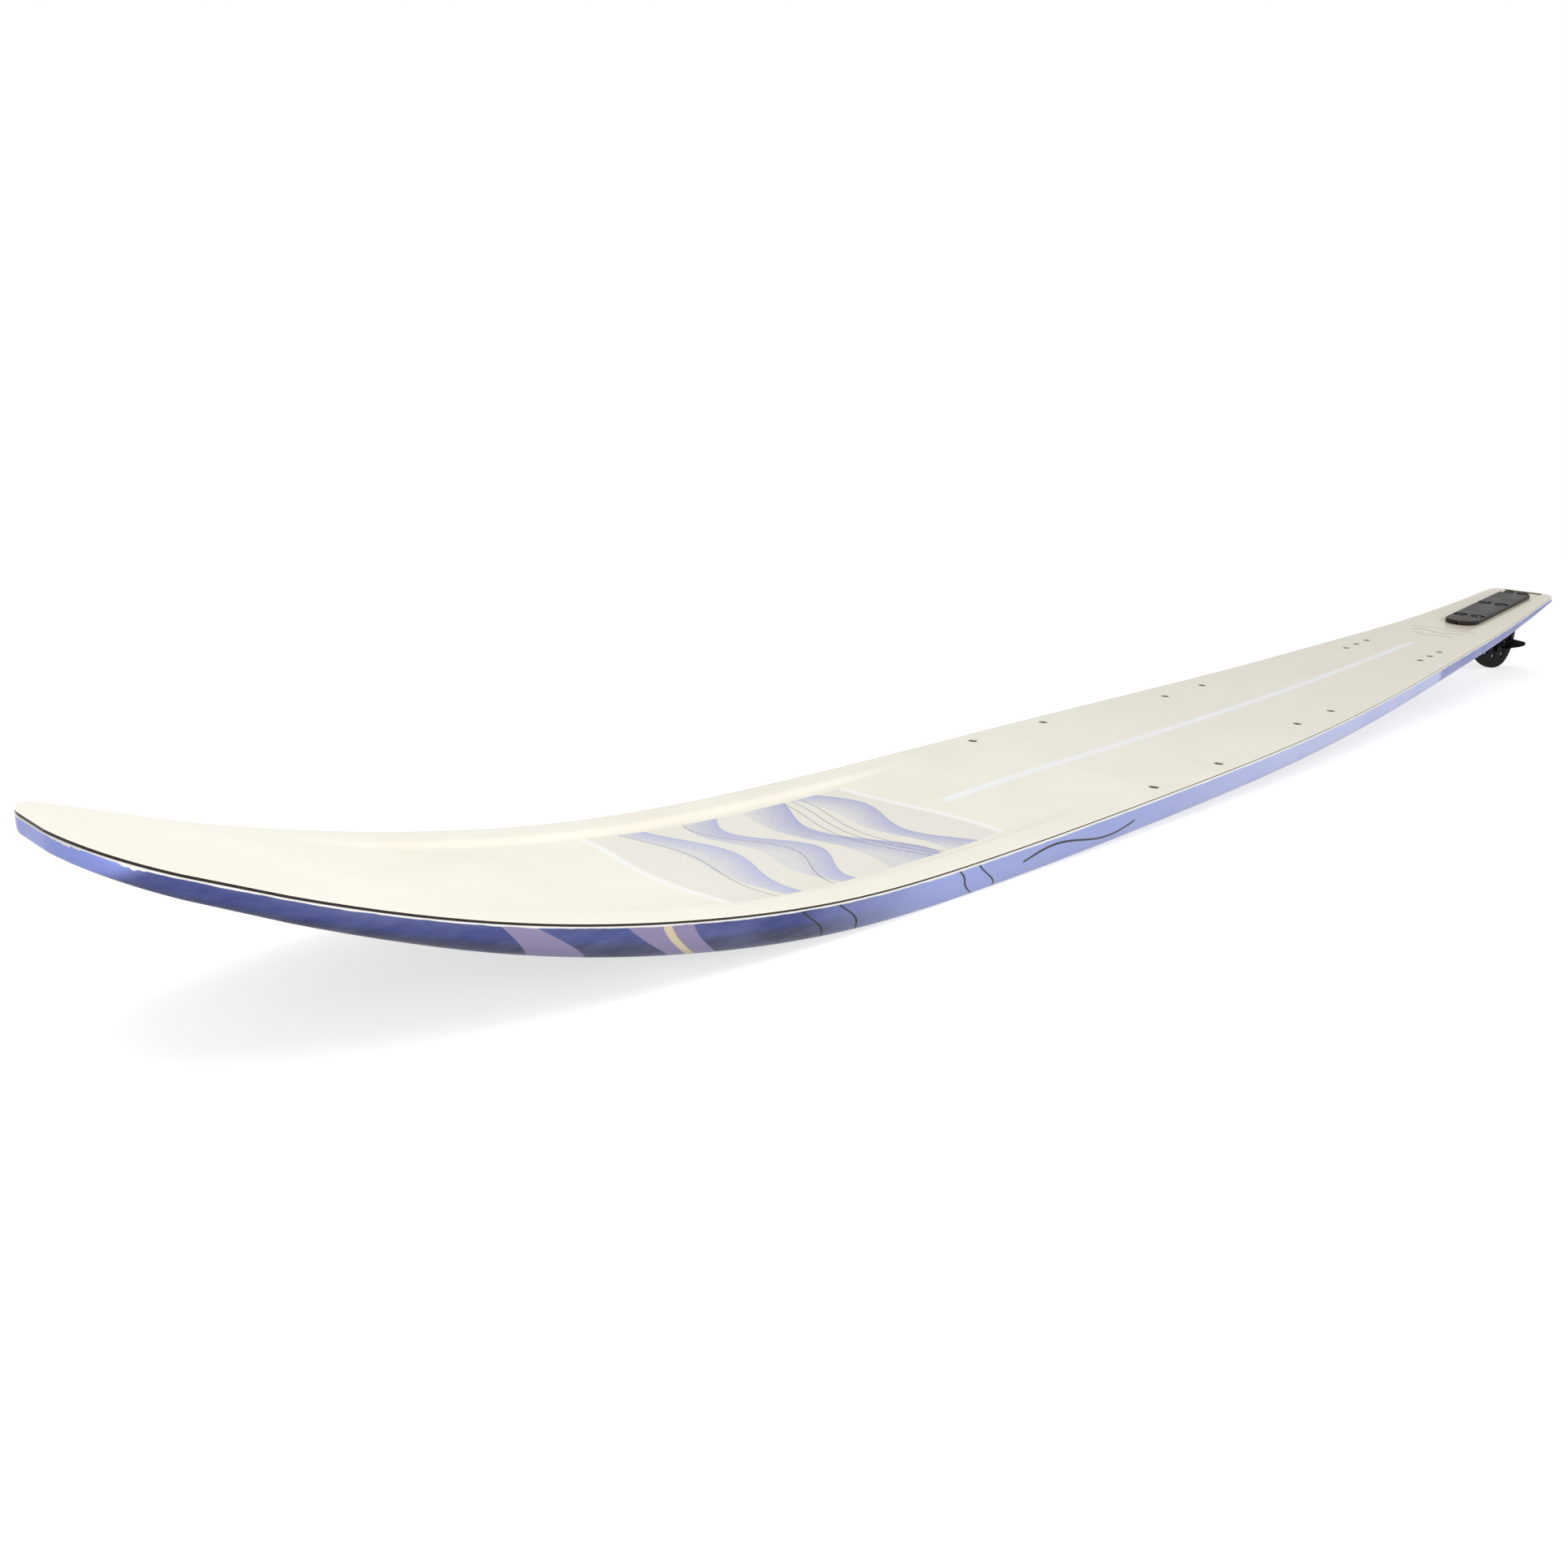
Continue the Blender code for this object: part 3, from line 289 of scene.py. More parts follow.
def piece(name, mesh, finish, angle=40.0):
    """A mesh already in its place, as an object at the origin with its finish and soft shading."""
    made = placed(name, mesh)
    mesh.materials.clear()
    mesh.materials.append(finish)
    mesh.shade_smooth()
    mesh.set_sharp_from_angle(angle=math.radians(angle))
    return made


def linear(code):
    """An sRGB hex colour as the linear colour that Blender's sockets take."""
    parts = [int(code[i:i + 2], 16) / 255.0 for i in (1, 3, 5)]
    return tuple(p / 12.92 if p <= 0.04045 else ((p + 0.055) / 1.055) ** 2.4 for p in parts) + (1.0,)


def feed(node, values):
    """Give a node's inputs their values, or the outputs that lead to them."""
    for name, value in values.items():
        if isinstance(value, bpy.types.NodeSocket):
            node.id_data.links.new(value, node.inputs[name])
        else:
            node.inputs[name].default_value = value


def new_finish(name, colour, roughness, **values):
    """A material with its plain values on the shader's own sockets, and its Object coordinates."""
    finish = bpy.data.materials.new(name)
    finish.use_nodes = True
    tree = finish.node_tree
    shader = tree.nodes["Principled BSDF"]
    feed(shader, {"Base Color": linear(colour), "Roughness": roughness})
    feed(shader, {socket.replace("_", " "): value for socket, value in values.items()})
    place = tree.nodes.new("ShaderNodeTexCoord").outputs["Object"]
    return finish, tree, shader, place


def add(tree, kind, inputs=None, **settings):
    """One node with its settings and inputs, a shader's unless its kind says Geometry."""
    made = tree.nodes.new(kind if kind.startswith("Geometry") else "ShaderNode" + kind)
    for name, value in settings.items():
        setattr(made, name, value)
    feed(made, inputs or {})
    return made.outputs[0]


def blend_colour(tree, amount, under, over):
    """The over colour laid on the under colour by an amount; a colour is a hex code or a socket."""
    under, over = [linear(colour) if isinstance(colour, str) else colour for colour in (under, over)]
    return add(tree, "Mix", {0: amount, 6: under, 7: over}, data_type="RGBA").node.outputs[2]


def past_wave(tree, along, across, middle, swing, length, shift):
    """How far across lies past a wave that runs along, in metres."""
    turn = add(tree, "Math", {0: along, 1: 2.0 * math.pi / length, 2: shift},
               operation="MULTIPLY_ADD")
    wave = add(tree, "Math", {0: turn}, operation="SINE")
    line = add(tree, "Math", {0: wave, 1: swing, 2: middle}, operation="MULTIPLY_ADD")
    return add(tree, "Math", {0: across, 1: line}, operation="SUBTRACT")


def between(tree, start, end, soft):
    """One past the start wave and short of the end wave, fading over soft metres."""
    begun, ended = [add(tree, "MapRange", {0: past, 1: -soft, 2: soft}) for past in (start, end)]
    return add(tree, "Math", {0: begun, 1: ended}, operation="SUBTRACT", use_clamp=True)


def drawn_line(tree, past, full, gone, strength=1.0):
    """A line where past is nought: at its strength to a half width of full, and gone beyond gone."""
    near = add(tree, "Math", {0: past}, operation="ABSOLUTE")
    return add(tree, "MapRange", {0: near, 1: full, 2: gone, 3: strength, 4: 0.0})


def limited(tree, ink, *limits):
    """An ink kept to where each of its limits is one."""
    for limit in limits:
        ink = add(tree, "Math", {0: ink, 1: limit}, operation="MULTIPLY")
    return ink


def toned(tree, pattern, low, high, under, over):
    """The over colour laid on the under colour as a pattern rises from low to high."""
    return blend_colour(tree, add(tree, "MapRange", {0: pattern, 1: low, 2: high}), under, over)


# Printed film under clear resin, moulded to a satin gloss: deep even colour and soft reflections
shell_finish, tree, shader, place = new_finish("printed_gloss_shell", "#4A5696", 0.34, Specular_IOR_Level=0.30)
along = add(tree, "SeparateXYZ", {0: add(tree, "UVMap", uv_map="edge")})
down = along.node.outputs[1]

# A painted shade darkens the side softly towards the base edge, and painted light makes it a lighter blue along
# the rear; it is also a lighter blue at the nose
slant = add(tree, "Math", {0: down, 1: -0.9, 2: along}, operation="MULTIPLY_ADD")
body = "#353F7C"
for where, start, end, colour, kind in ((down, 0.0060, 0.0110, "#272A46", "SMOOTHSTEP"),
                                        (slant, 1.5975, 1.6065, "#98A6F4", "SMOOTHSTEP"),
                                        (along, 1.345, 1.215, "#9CA8DE", "SMOOTHSTEP"),
                                        (along, 1.10, 0.75, "#BBC3EC", "SMOOTHSTEP"),
                                        (along, 0.446, 0.438, "#7079BE", "LINEAR")):
    reached = add(tree, "MapRange", {0: where, 1: start, 2: end}, interpolation_type=kind)
    body = blend_colour(tree, reached, body, colour)

# Pigment in the resin settles in soft clouds of about 15 mm, drawn out three to one along the ski
drawn = add(tree, "Mapping", {"Vector": place, "Scale": (0.33, 1.0, 1.3)})
cloud = add(tree, "TexNoise", {"Vector": drawn, "Scale": 80.0, "Detail": 6.0, "Roughness": 0.65})
cloudy = add(tree, "MapRange", {0: cloud, 1: 0.35, 2: 0.70, 4: 0.17})
body = blend_colour(tree, cloudy, body, "#AEB8EC")

# Printed motif: slanted mauve swells, one with a cream line, in the deep blue part
lean = add(tree, "Math", {0: down, 1: 0.9, 2: along}, operation="MULTIPLY_ADD")
swells = [past_wave(tree, down, lean, middle, swing, length, shift)
          for middle, swing, length, shift in ((1.392, 0.006, 0.044, 0.4), (1.420, 0.010, 0.060, 1.5),
                                               (1.470, 0.009, 0.044, 2.6), (1.490, 0.004, 0.060, 3.7))]
for start, end in (swells[:2], swells[2:]):
    body = blend_colour(tree, between(tree, start, end, 0.0004), body, "#8F84A8")
ahead = add(tree, "Math", {0: swells[0], 1: 0.014}, operation="SUBTRACT")
body = blend_colour(tree, drawn_line(tree, ahead, 0.0020, 0.0027), body, "#D5C6A6")

# Thin dark ripples across the side behind the swells, and one long line that rises and falls
for middle, swing, length, shift in ((1.330, 0.0016, 0.016, 0.5), (1.306, 0.0022, 0.019, 1.6),
                                     (1.216, 0.0018, 0.015, 2.9), (1.196, 0.0014, 0.018, 0.2)):
    ripple = past_wave(tree, down, lean, middle, swing, length, shift)
    body = blend_colour(tree, drawn_line(tree, ripple, 0.00055, 0.00105), body, "#1B1B24")
ink = drawn_line(tree, past_wave(tree, along, down, 0.0088, 0.0034, 0.120, 2.4), 0.00045, 0.00080)
for end, side in ((1.035, "GREATER_THAN"), (1.155, "LESS_THAN")):
    on_line = add(tree, "Math", {0: along, 1: end}, operation=side)
    ink = limited(tree, ink, on_line)
body = blend_colour(tree, ink, body, "#1B1B24")

# The raw rim, white glass and resin: about a millimetre high, with two short runs of drips at the nose
rim_line = add(tree, "MapRange", {0: along, 1: 0.95, 2: 1.45, 3: 0.00235, 4: 0.00215})
ragged = add(tree, "TexNoise", {"Vector": place, "Scale": 90.0, "Detail": 2.0, "Roughness": 0.5})
drips = add(tree, "TexNoise", {"Vector": place, "Scale": 260.0, "Detail": 2.0, "Roughness": 0.5})
wander = add(tree, "MapRange", {0: ragged, 1: 0.30, 2: 0.70, 3: -0.0002, 4: 0.0002})
fall = add(tree, "MapRange", {0: drips, 1: 0.42, 2: 0.70, 4: 0.0013})
runs = 0.0
for middle, reach in ((1.6172, 0.0024), (1.6045, 0.0034)):
    off_run = add(tree, "Math", {0: along, 1: middle}, operation="SUBTRACT")
    run = drawn_line(tree, off_run, 0.6 * reach, reach)
    runs = add(tree, "Math", {0: run, 1: runs}, operation="MAXIMUM")
rim_low = add(tree, "Math", {0: rim_line, 1: wander}, operation="ADD")
rim_low = add(tree, "Math", {0: rim_low, 1: limited(tree, fall, runs)}, operation="ADD")
rim_white = add(tree, "Math", {0: rim_low, 1: down}, operation="SUBTRACT")
body = toned(tree, rim_white, -0.00012, 0.00012, body, "#F4F3EE")
# Orange peel of the moulded resin, about 4 mm between its soft hills, and fine scuffs in the gloss
peel = add(tree, "TexNoise", {"Vector": place, "Scale": 240.0, "Detail": 2.0})
hills = add(tree, "Bump", {"Strength": 0.05, "Distance": 0.0004, "Height": peel})
scuff = add(tree, "TexNoise", {"Vector": place, "Scale": 35.0, "Detail": 6.0})
gloss = add(tree, "MapRange", {0: scuff, 1: 0.3, 2: 0.8, 3: 0.28, 4: 0.44})
feed(shader, {"Base Color": body, "Normal": hills, "Roughness": gloss})

BULGE = 0.00075
SKIN_EDGE = 0.00035
LINE_GAP = 0.0001
LINE_HEIGHT = 0.00045
LINE_GAIN = 0.00045
LINE_RUN = (0.95, 1.45)
EDGE_LAP = 0.0012
BASE_LIFT = 0.00008
BASE_CURVE = 2.6


def line_at(x):
    """The height of the dark laminate line, which is thicker in the forebody."""
    return LINE_HEIGHT + LINE_GAIN * ease(*LINE_RUN, x)


def rim_at(x):
    """How far the shell's raw rim lies under the deck's edge: below the skin and the dark line."""
    return SKIN_EDGE + line_at(x) + 2.0 * LINE_GAP


def out(offset, turned_in=0.0):
    """An offset from the outline, less a share of the way in to the base's edge."""
    return lambda x: offset - turned_in * (BULGE + bevel_at(x))


def below(depth_at, more=0.0):
    """A height that lies a depth of x under the deck's edge line."""
    return lambda x, i, share: rocker_at(x) - depth_at(x) - more


def part_depth(part, least=0.0):
    """A height at a part of the edge depth, and never above a least depth under the rim."""
    return lambda x, i, share: rocker_at(x) - max(part * edge_depth_at(x), rim_at(x) + least)


def base_height(x, i, share):
    width = half_width(ROWS[i]) - bevel_at(x)
    rail = max(width - RAIL, 0.002)
    across = min(abs(share) * width / rail, 1.0)
    return rocker_at(x) - edge_depth_at(x) + tunnel_at(x) * (1.0 - across ** BASE_CURVE) + BASE_LIFT


shell_loops = [(out(-EDGE_LAP), None), (out(-0.0003), below(rim_at)), (out(-0.0001), below(rim_at, 0.0001)),
               (out(0.0), below(rim_at, 0.0004)), (out(0.4 * BULGE), part_depth(0.26, 0.0010)),
               (out(BULGE), part_depth(0.42, 0.0016)), (out(BULGE), part_depth(0.60, 0.0020))]
BASE_STEPS = 8
for sine, cosine in quarter(BASE_STEPS):
    shell_loops.append((out(BULGE, 1.0 - cosine), part_depth(0.60 + 0.395 * sine, 0.0022)))


def under_deck(depth_at, more=0.0):
    """A height that lies a depth of x under the deck's own form."""
    return lambda x, i, share: deck_height(x, i, share) - depth_at(x) - more


TROUGH_DEPTH = 0.0030
TROUGH_FRONT = (0.945, 0.890)
TROUGH_REAR = (0.640, 0.725)
SEAT_FADE = 0.045
SEAT_FIT = 0.0025


def trough_at(x):
    share = x / LENGTH
    return TROUGH_DEPTH * ease(*TROUGH_FRONT, share) * ease(*TROUGH_REAR, share)


def seat_drop_at(x):
    """The seat's depth: flat under the plate, and run out ahead of it."""
    drop = max(rocker_at(x) - (SEAT_HEIGHT + SEAT_SLOPE * (x - PLATE_MIDDLE)), 0.0)
    ahead = ease(PLATE_FRONT + SEAT_FADE, PLATE_FRONT + SEAT_FIT, x)
    if x > PLATE_FRONT:
        drop = SEAT_DEPTH + (drop - SEAT_DEPTH) * ahead
    return drop * ahead


def deck_height(x, i, share):
    """The deck's form across a row: a raised rim, the trough's wall and floor, the seat at the middle."""
    seat, wall, floor, rim = COLUMNS[i][1]
    across = abs(share) * half_width(ROWS[i])
    height = rocker_at(x)
    height -= trough_at(x) * (1.0 - ease(floor, rim, across))
    height -= seat_drop_at(x) * (1.0 - ease(seat, wall, across))
    return height


base_shell = board_body("moulded_base_shell", shell_loops, under_deck(rim_at, 0.0003), base_height)
base_shell = piece("moulded_base_shell", base_shell, shell_finish)


def settle(target, finish):
    """Work a piece's modifiers into one plain mesh with one finish."""
    bpy.context.view_layer.update()
    live = target.evaluated_get(bpy.context.evaluated_depsgraph_get())
    result = bpy.data.meshes.new_from_object(live)
    former = target.data
    target.modifiers.clear()
    target.data = result
    bpy.data.meshes.remove(former)
    result.materials.clear()
    result.materials.append(finish)


def cut(target, mesh):
    """Cut a closed tool out of a finished piece."""
    tool = placed("tool", mesh)
    modifier = target.modifiers.new("cut", "BOOLEAN")
    modifier.operation = "DIFFERENCE"
    modifier.solver = "EXACT"
    modifier.object = tool
    settle(target, target.data.materials[0])
    bpy.data.objects.remove(tool)
    bpy.data.meshes.remove(mesh)


def stacked(rings, matrix=Matrix.Identity(4)):
    """A closed body through rings of equal count, set in its place."""
    bm = bmesh.new()
    rows = [[bm.verts.new(point) for point in ring] for ring in rings]
    for row, following in zip(rows, rows[1:]):
        for i in range(len(row)):
            j = (i + 1) % len(row)
            bm.faces.new((row[i], row[j], following[j], following[i]))
    bm.faces.new(rows[0])
    bm.faces.new(rows[-1])
    return closed_mesh(bm, "stacked", matrix)


def prism(outline, low, high, matrix=Matrix.Identity(4), plane="XY"):
    """A closed prism over a flat outline, set in its place."""
    return stacked([[(x, y, height) if plane == "XY" else (x, height, y) for x, y in outline]
                    for height in (low, high)], matrix)


def stadium(length, width, steps, middle=0.0):
    """A slot outline along the ski."""
    radius = width / 2.0
    reach = length / 2.0 - radius
    points = []
    for centre, start in ((reach, -90.0), (-reach, 90.0)):
        for i in range(steps + 1):
            turn = math.radians(start + 180.0 * i / steps)
            points.append((middle + centre + radius * math.cos(turn), radius * math.sin(turn)))
    return points


SLOT_REAR = -0.085
SLOT_FRONT = 0.067
SLOT_WIDTH = 0.0106
SLOT_REACH = (-0.030, 0.012)
slot_outline = stadium(SLOT_FRONT - SLOT_REAR, SLOT_WIDTH, 16, (SLOT_FRONT + SLOT_REAR) / 2.0)
cut(base_shell, prism(slot_outline, *SLOT_REACH, plate))
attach(base_shell, "ski")
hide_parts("base_shell")


# Foam core: rigid polyurethane foam, pale yellow with tiny cut bubbles, poured and milled to the mould.
# It lies hidden inside the shell and under the two skins.

foam, tree, shader, place = new_finish("milled_polyurethane_foam", "#D8CDA0", 0.9)
cells = add(tree, "TexVoronoi", {"Vector": place, "Scale": 900.0})
pits = add(tree, "Bump", {"Strength": 0.4, "Distance": 0.0002, "Height": cells})
feed(shader, {"Base Color": toned(tree, cells, 0.0, 0.6, "#BFB282", "#E2D8AE"), "Normal": pits})


def refinish(finish, *names):
    """Give solids that stay as they are a better material."""
    for name in names:
        for spot in frame["nodes"][name].material_slots:
            spot.material = finish


refinish(foam, "foam_core")


# Carbon laminate: two plies of carbon cloth in epoxy, pressed between the core and the top sheet.
# Its trimmed edge shows as a thin brown black line all round the ski.

carbon, tree, shader, place = new_finish("trimmed_carbon_laminate", "#2A211D", 0.55, Specular_IOR_Level=0.25)
fibres = add(tree, "TexNoise", {"Vector": place, "Scale": 600.0, "Detail": 4.0, "Roughness": 0.7})
feed(shader, {"Base Color": toned(tree, fibres, 0.35, 0.7, "#1A1412", "#3C302A")})


def steady(depth):
    """A depth that is the same all along the ski."""
    return lambda x: depth


laminate_top = steady(SKIN_EDGE + LINE_GAP)


def laminate_low(x):
    return laminate_top(x) + line_at(x)


laminate_loops = [(out(-EDGE_LAP), None), (out(-0.0002), below(laminate_top)),
                  (out(-0.0001), below(laminate_top, 0.0001)), (out(-0.0001), below(laminate_low, -0.0001)),
                  (out(-0.0002), below(laminate_low)), (out(-EDGE_LAP), None)]
laminate = board_body("carbon_edge_line", laminate_loops, under_deck(laminate_top), under_deck(laminate_low))
laminate = piece("carbon_edge_line", laminate, carbon)
cut(laminate, prism(slot_outline, *SLOT_REACH, plate))
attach(laminate, "ski")
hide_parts("carbon_laminate")


# Top sheet: a thin cream polyamide film, printed on its back and moulded glossy, with a rounded edge,
# a trough ahead of the bindings and a shallow seat for the fin plate. It is glued down last.

cream, tree, shader, place = new_finish("cream_polyamide_top_sheet", "#F4F1E5", 0.30, Specular_IOR_Level=0.40)
along = add(tree, "SeparateXYZ", {0: add(tree, "UVMap", uv_map="edge")})
across = add(tree, "SeparateXYZ", {0: place}).node.outputs[1]

# A faint mottle of resin under the film, in patches of about 60 mm, and a painted shade that makes the sheet
# slightly darker and yellower towards the tail
mottle = add(tree, "TexNoise", {"Vector": place, "Scale": 16.0, "Detail": 3.0})
sheet = toned(tree, mottle, 0.35, 0.65, "#F3EEDF", "#F7F3E5")
sheet = toned(tree, along, 1.05, 0.15, sheet, "#EEE6D2")

# The pale centre stripe, 6 mm wide
stripe = drawn_line(tree, across, 0.0029, 0.0037)
for start, end in ((0.340, 0.352), (1.120, 1.110)):
    on_stripe = add(tree, "MapRange", {0: along, 1: start, 2: end})
    stripe = limited(tree, stripe, on_stripe)
sheet = blend_colour(tree, stripe, sheet, "#FAFAF9")

# Printed motif of the foredeck: a faint panel between two pale embossed bands, and on it swells in
# periwinkle, engraved with lines that thin out behind each crest, and thin dark contour lines
fore = past_wave(tree, across, along, 1.352, 0.006, 0.150, 0.9)
rear = past_wave(tree, across, along, 1.140, 0.005, 0.170, 3.4)
inside_rim = drawn_line(tree, across, 0.0560, 0.0566)
panel = limited(tree, between(tree, rear, fore, 0.0006), inside_rim, 0.75)
sheet = blend_colour(tree, panel, sheet, "#E6E3D8")
for past in (fore, rear):
    band = limited(tree, drawn_line(tree, past, 0.0022, 0.0030, 0.9), inside_rim)
    sheet = blend_colour(tree, band, sheet, "#FBFAF6")
ENGRAVED_PITCH = 0.0014
grain = add(tree, "TexNoise", {"Vector": place, "Scale": 420.0, "Detail": 3.0})
for middle, thick, swing, length, shift, tint in ((1.166, 0.022, 0.010, 0.098, 0.3, "#959BD0"),
                                                  (1.206, 0.028, 0.014, 0.121, 2.1, "#8F96CC"),
                                                  (1.252, 0.026, 0.012, 0.086, 4.0, "#9BA1D4"),
                                                  (1.296, 0.022, 0.009, 0.110, 5.2, "#A3A9DA")):
    start = past_wave(tree, across, along, middle, swing, length, shift)
    end = past_wave(tree, across, along, middle + thick, 0.4 * swing, 0.8 * length, shift + 0.9)
    inside = limited(tree, between(tree, start, end, 0.0003), inside_rim)
    behind = add(tree, "MapRange", {0: start, 1: 0.0, 2: thick, 3: 0.85, 4: -0.75})
    lines = add(tree, "Math", {0: start, 1: 2.0 * math.pi / ENGRAVED_PITCH}, operation="MULTIPLY")
    lines = add(tree, "Math", {0: grain, 1: 7.0, 2: lines}, operation="MULTIPLY_ADD")
    lines = add(tree, "Math", {0: lines}, operation="SINE")
    engraved = add(tree, "Math", {0: lines, 1: behind}, operation="ADD")
    engraved = add(tree, "MapRange", {0: engraved, 1: -0.25, 2: 0.25})
    sheet = blend_colour(tree, limited(tree, engraved, inside), sheet, tint)
for middle, swing, length, shift in ((1.192, 0.010, 0.150, 1.0), (1.199, 0.010, 0.150, 1.1),
                                     (1.206, 0.010, 0.150, 1.2), (1.268, 0.012, 0.098, 4.4),
                                     (1.318, 0.006, 0.110, 5.6)):
    contour = past_wave(tree, across, along, middle, swing, length, shift)
    ink = limited(tree, drawn_line(tree, contour, 0.00018, 0.00042, 0.9), inside_rim)
    sheet = blend_colour(tree, ink, sheet, "#3A3638")

# Printed motif of the rear deck: three small grey ripples ahead of the fin plate
for k in range(3):
    ripple = past_wave(tree, across, along, 0.258 + 0.018 * k, 0.004, 0.032, 1.2 * k)
    short = drawn_line(tree, across, 0.0300 - 0.005 * k, 0.0305 - 0.005 * k)
    ink = limited(tree, drawn_line(tree, ripple, 0.00060, 0.00100, 0.95), short)
    sheet = blend_colour(tree, ink, sheet, "#77747A")

# The mould leaves a soft orange peel and shallow dimples; handling leaves faint scuffs in the gloss
peel = add(tree, "TexNoise", {"Vector": place, "Scale": 120.0, "Detail": 3.0})
hills = add(tree, "Bump", {"Strength": 0.02, "Distance": 0.0004, "Height": peel})
scuff = add(tree, "TexNoise", {"Vector": place, "Scale": 22.0, "Detail": 7.0})
gloss = add(tree, "MapRange", {0: scuff, 1: 0.3, 2: 0.8, 3: 0.29, 4: 0.35})
feed(shader, {"Base Color": sheet, "Normal": hills, "Roughness": gloss})

EDGE_ROLL = 0.0003
EDGE_STEPS = 5
SKIN_LAP = 0.0009
deck_line = steady(0.0)
skin_low = steady(SKIN_EDGE)
top_loops = [(out(-EDGE_ROLL), None)]
for sine, cosine in quarter(EDGE_STEPS):
    top_loops.append((out(-EDGE_ROLL * (1.0 - sine)), below(deck_line, EDGE_ROLL * (1.0 - cosine))))
top_loops += [(out(-0.0001), below(skin_low)), (out(-SKIN_LAP), None)]
top_sheet = board_body("moulded_top_sheet", top_loops, under_deck(deck_line), under_deck(skin_low))
top_sheet = piece("moulded_top_sheet", top_sheet, cream)
cut(top_sheet, prism(slot_outline, *SLOT_REACH, plate))


# Binding inserts: fourteen turned steel barrels moulded into the core. A flange under the top sheet
# holds each one down, its neck ends flush with the deck, and its bore is threaded for a 6 mm binding screw.

INSERT_ROWS = [(0.9884, 0.06985), (0.8995, 0.06985), (0.7408, 0.0556), (0.6773, 0.0556),
               (0.4233, 0.0349), (0.3979, 0.0349), (0.3725, 0.0349)]
INSERT_RADIUS = 0.0048
INSERT_BARREL = INSERT_RADIUS * 0.92
INSERT_NECK = 0.0033
INSERT_BORE = 0.0024
INSERT_DEPTH = 0.0068
INSERT_FLUSH = 0.0003
THREAD_PITCH = 0.0008
THREAD_CUT = 0.00045


def turned(profile, segments, matrix=Matrix.Identity(4)):
    """A closed profile of (radius, height), from axis to axis, turned about its own axis."""
    bm = bmesh.new()
    rings = []
    for radius, height in profile:
        if radius == 0.0:
            rings.append([bm.verts.new((0.0, 0.0, height))] * segments)
        else:
            rings.append([bm.verts.new((radius * math.cos(2.0 * math.pi * i / segments),
                                        radius * math.sin(2.0 * math.pi * i / segments), height))
                          for i in range(segments)])
    for one, two in zip(rings, rings[1:]):
        for i in range(segments):
            j = (i + 1) % segments
            corners = list(dict.fromkeys((one[i], one[j], two[j], two[i])))
            if len(corners) > 2:
                bm.faces.new(corners)
    return closed_mesh(bm, "turned", matrix)


def bore(radius, low, high, segments, matrix=Matrix.Identity(4)):
    """A round cutting tool, from low to high along its own axis."""
    return turned([(0.0, low), (radius, low), (radius, high), (0.0, high)], segments, matrix)


def merged(meshes):
    """Several closed meshes as one."""
    bm = bmesh.new()
    for mesh in meshes:
        bm.from_mesh(mesh)
        bpy.data.meshes.remove(mesh)
    mesh = bpy.data.meshes.new("merged")
    bm.to_mesh(mesh)
    bm.free()
    return mesh


def set_out(name, points, sample, finish, turn=0.0):
    """Geometry Nodes that put a sample piece on each point, and the result as one plain mesh."""
    tree = bpy.data.node_groups.new(name, "GeometryNodeTree")
    tree.interface.new_socket("Geometry", in_out="INPUT", socket_type="NodeSocketGeometry")
    turn_socket = tree.interface.new_socket("Turn between pieces", in_out="INPUT", socket_type="NodeSocketFloat")
    size_socket = tree.interface.new_socket("Size", in_out="INPUT", socket_type="NodeSocketFloat")
    tree.interface.new_socket("Geometry", in_out="OUTPUT", socket_type="NodeSocketGeometry")
    entry = tree.nodes.new("NodeGroupInput")
    source = add(tree, "GeometryNodeObjectInfo", {"Object": sample}).node
    order = add(tree, "GeometryNodeInputIndex")
    angle = add(tree, "Math", {0: order, 1: entry.outputs["Turn between pieces"]}, operation="MULTIPLY")
    spin = add(tree, "CombineXYZ", {2: angle})
    spread = add(tree, "GeometryNodeInstanceOnPoints", {"Points": entry.outputs[0],
                                                        "Instance": source.outputs["Geometry"],
                                                        "Rotation": spin, "Scale": entry.outputs["Size"]})
    real = add(tree, "GeometryNodeRealizeInstances", {0: spread})
    painted = add(tree, "GeometryNodeSetMaterial", {"Geometry": real, "Material": finish})
    feed(tree.nodes.new("NodeGroupOutput"), {0: painted})
    cloud = bpy.data.meshes.new(name + "_points")
    cloud.from_pydata(points, [], [])
    made = placed(name, cloud)
    modifier = made.modifiers.new(name, "NODES")
    modifier.node_group = tree
    modifier[turn_socket.identifier] = turn
    modifier[size_socket.identifier] = 1.0
    settle(made, finish)
    bpy.data.objects.remove(sample)
    return made


wells = []
spots = []
for x, half_space in INSERT_ROWS:
    for side in (1.0, -1.0):
        spot = Vector((x, side * half_space, rocker_at(x) - INSERT_FLUSH))
        spots.append(tuple(spot))
        wells.append(bore(INSERT_NECK + 0.0001, -0.0075, 0.006, 32, board @ Matrix.Translation(spot)))
cut(top_sheet, merged(wells))
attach(top_sheet, "ski")
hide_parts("top_sheet")

# Turned stainless steel, cast into the core: satin with dull resin stains, and a dark thread
insert_steel, tree, shader, place = new_finish("turned_stainless_insert", "#B4B0A8", 0.30, Metallic=1.0)
stain = add(tree, "TexNoise", {"Vector": place, "Scale": 700.0, "Detail": 3.0})
feed(shader, {"Base Color": toned(tree, stain, 0.4, 0.65, "#C8C4BA", "#6E675E")})

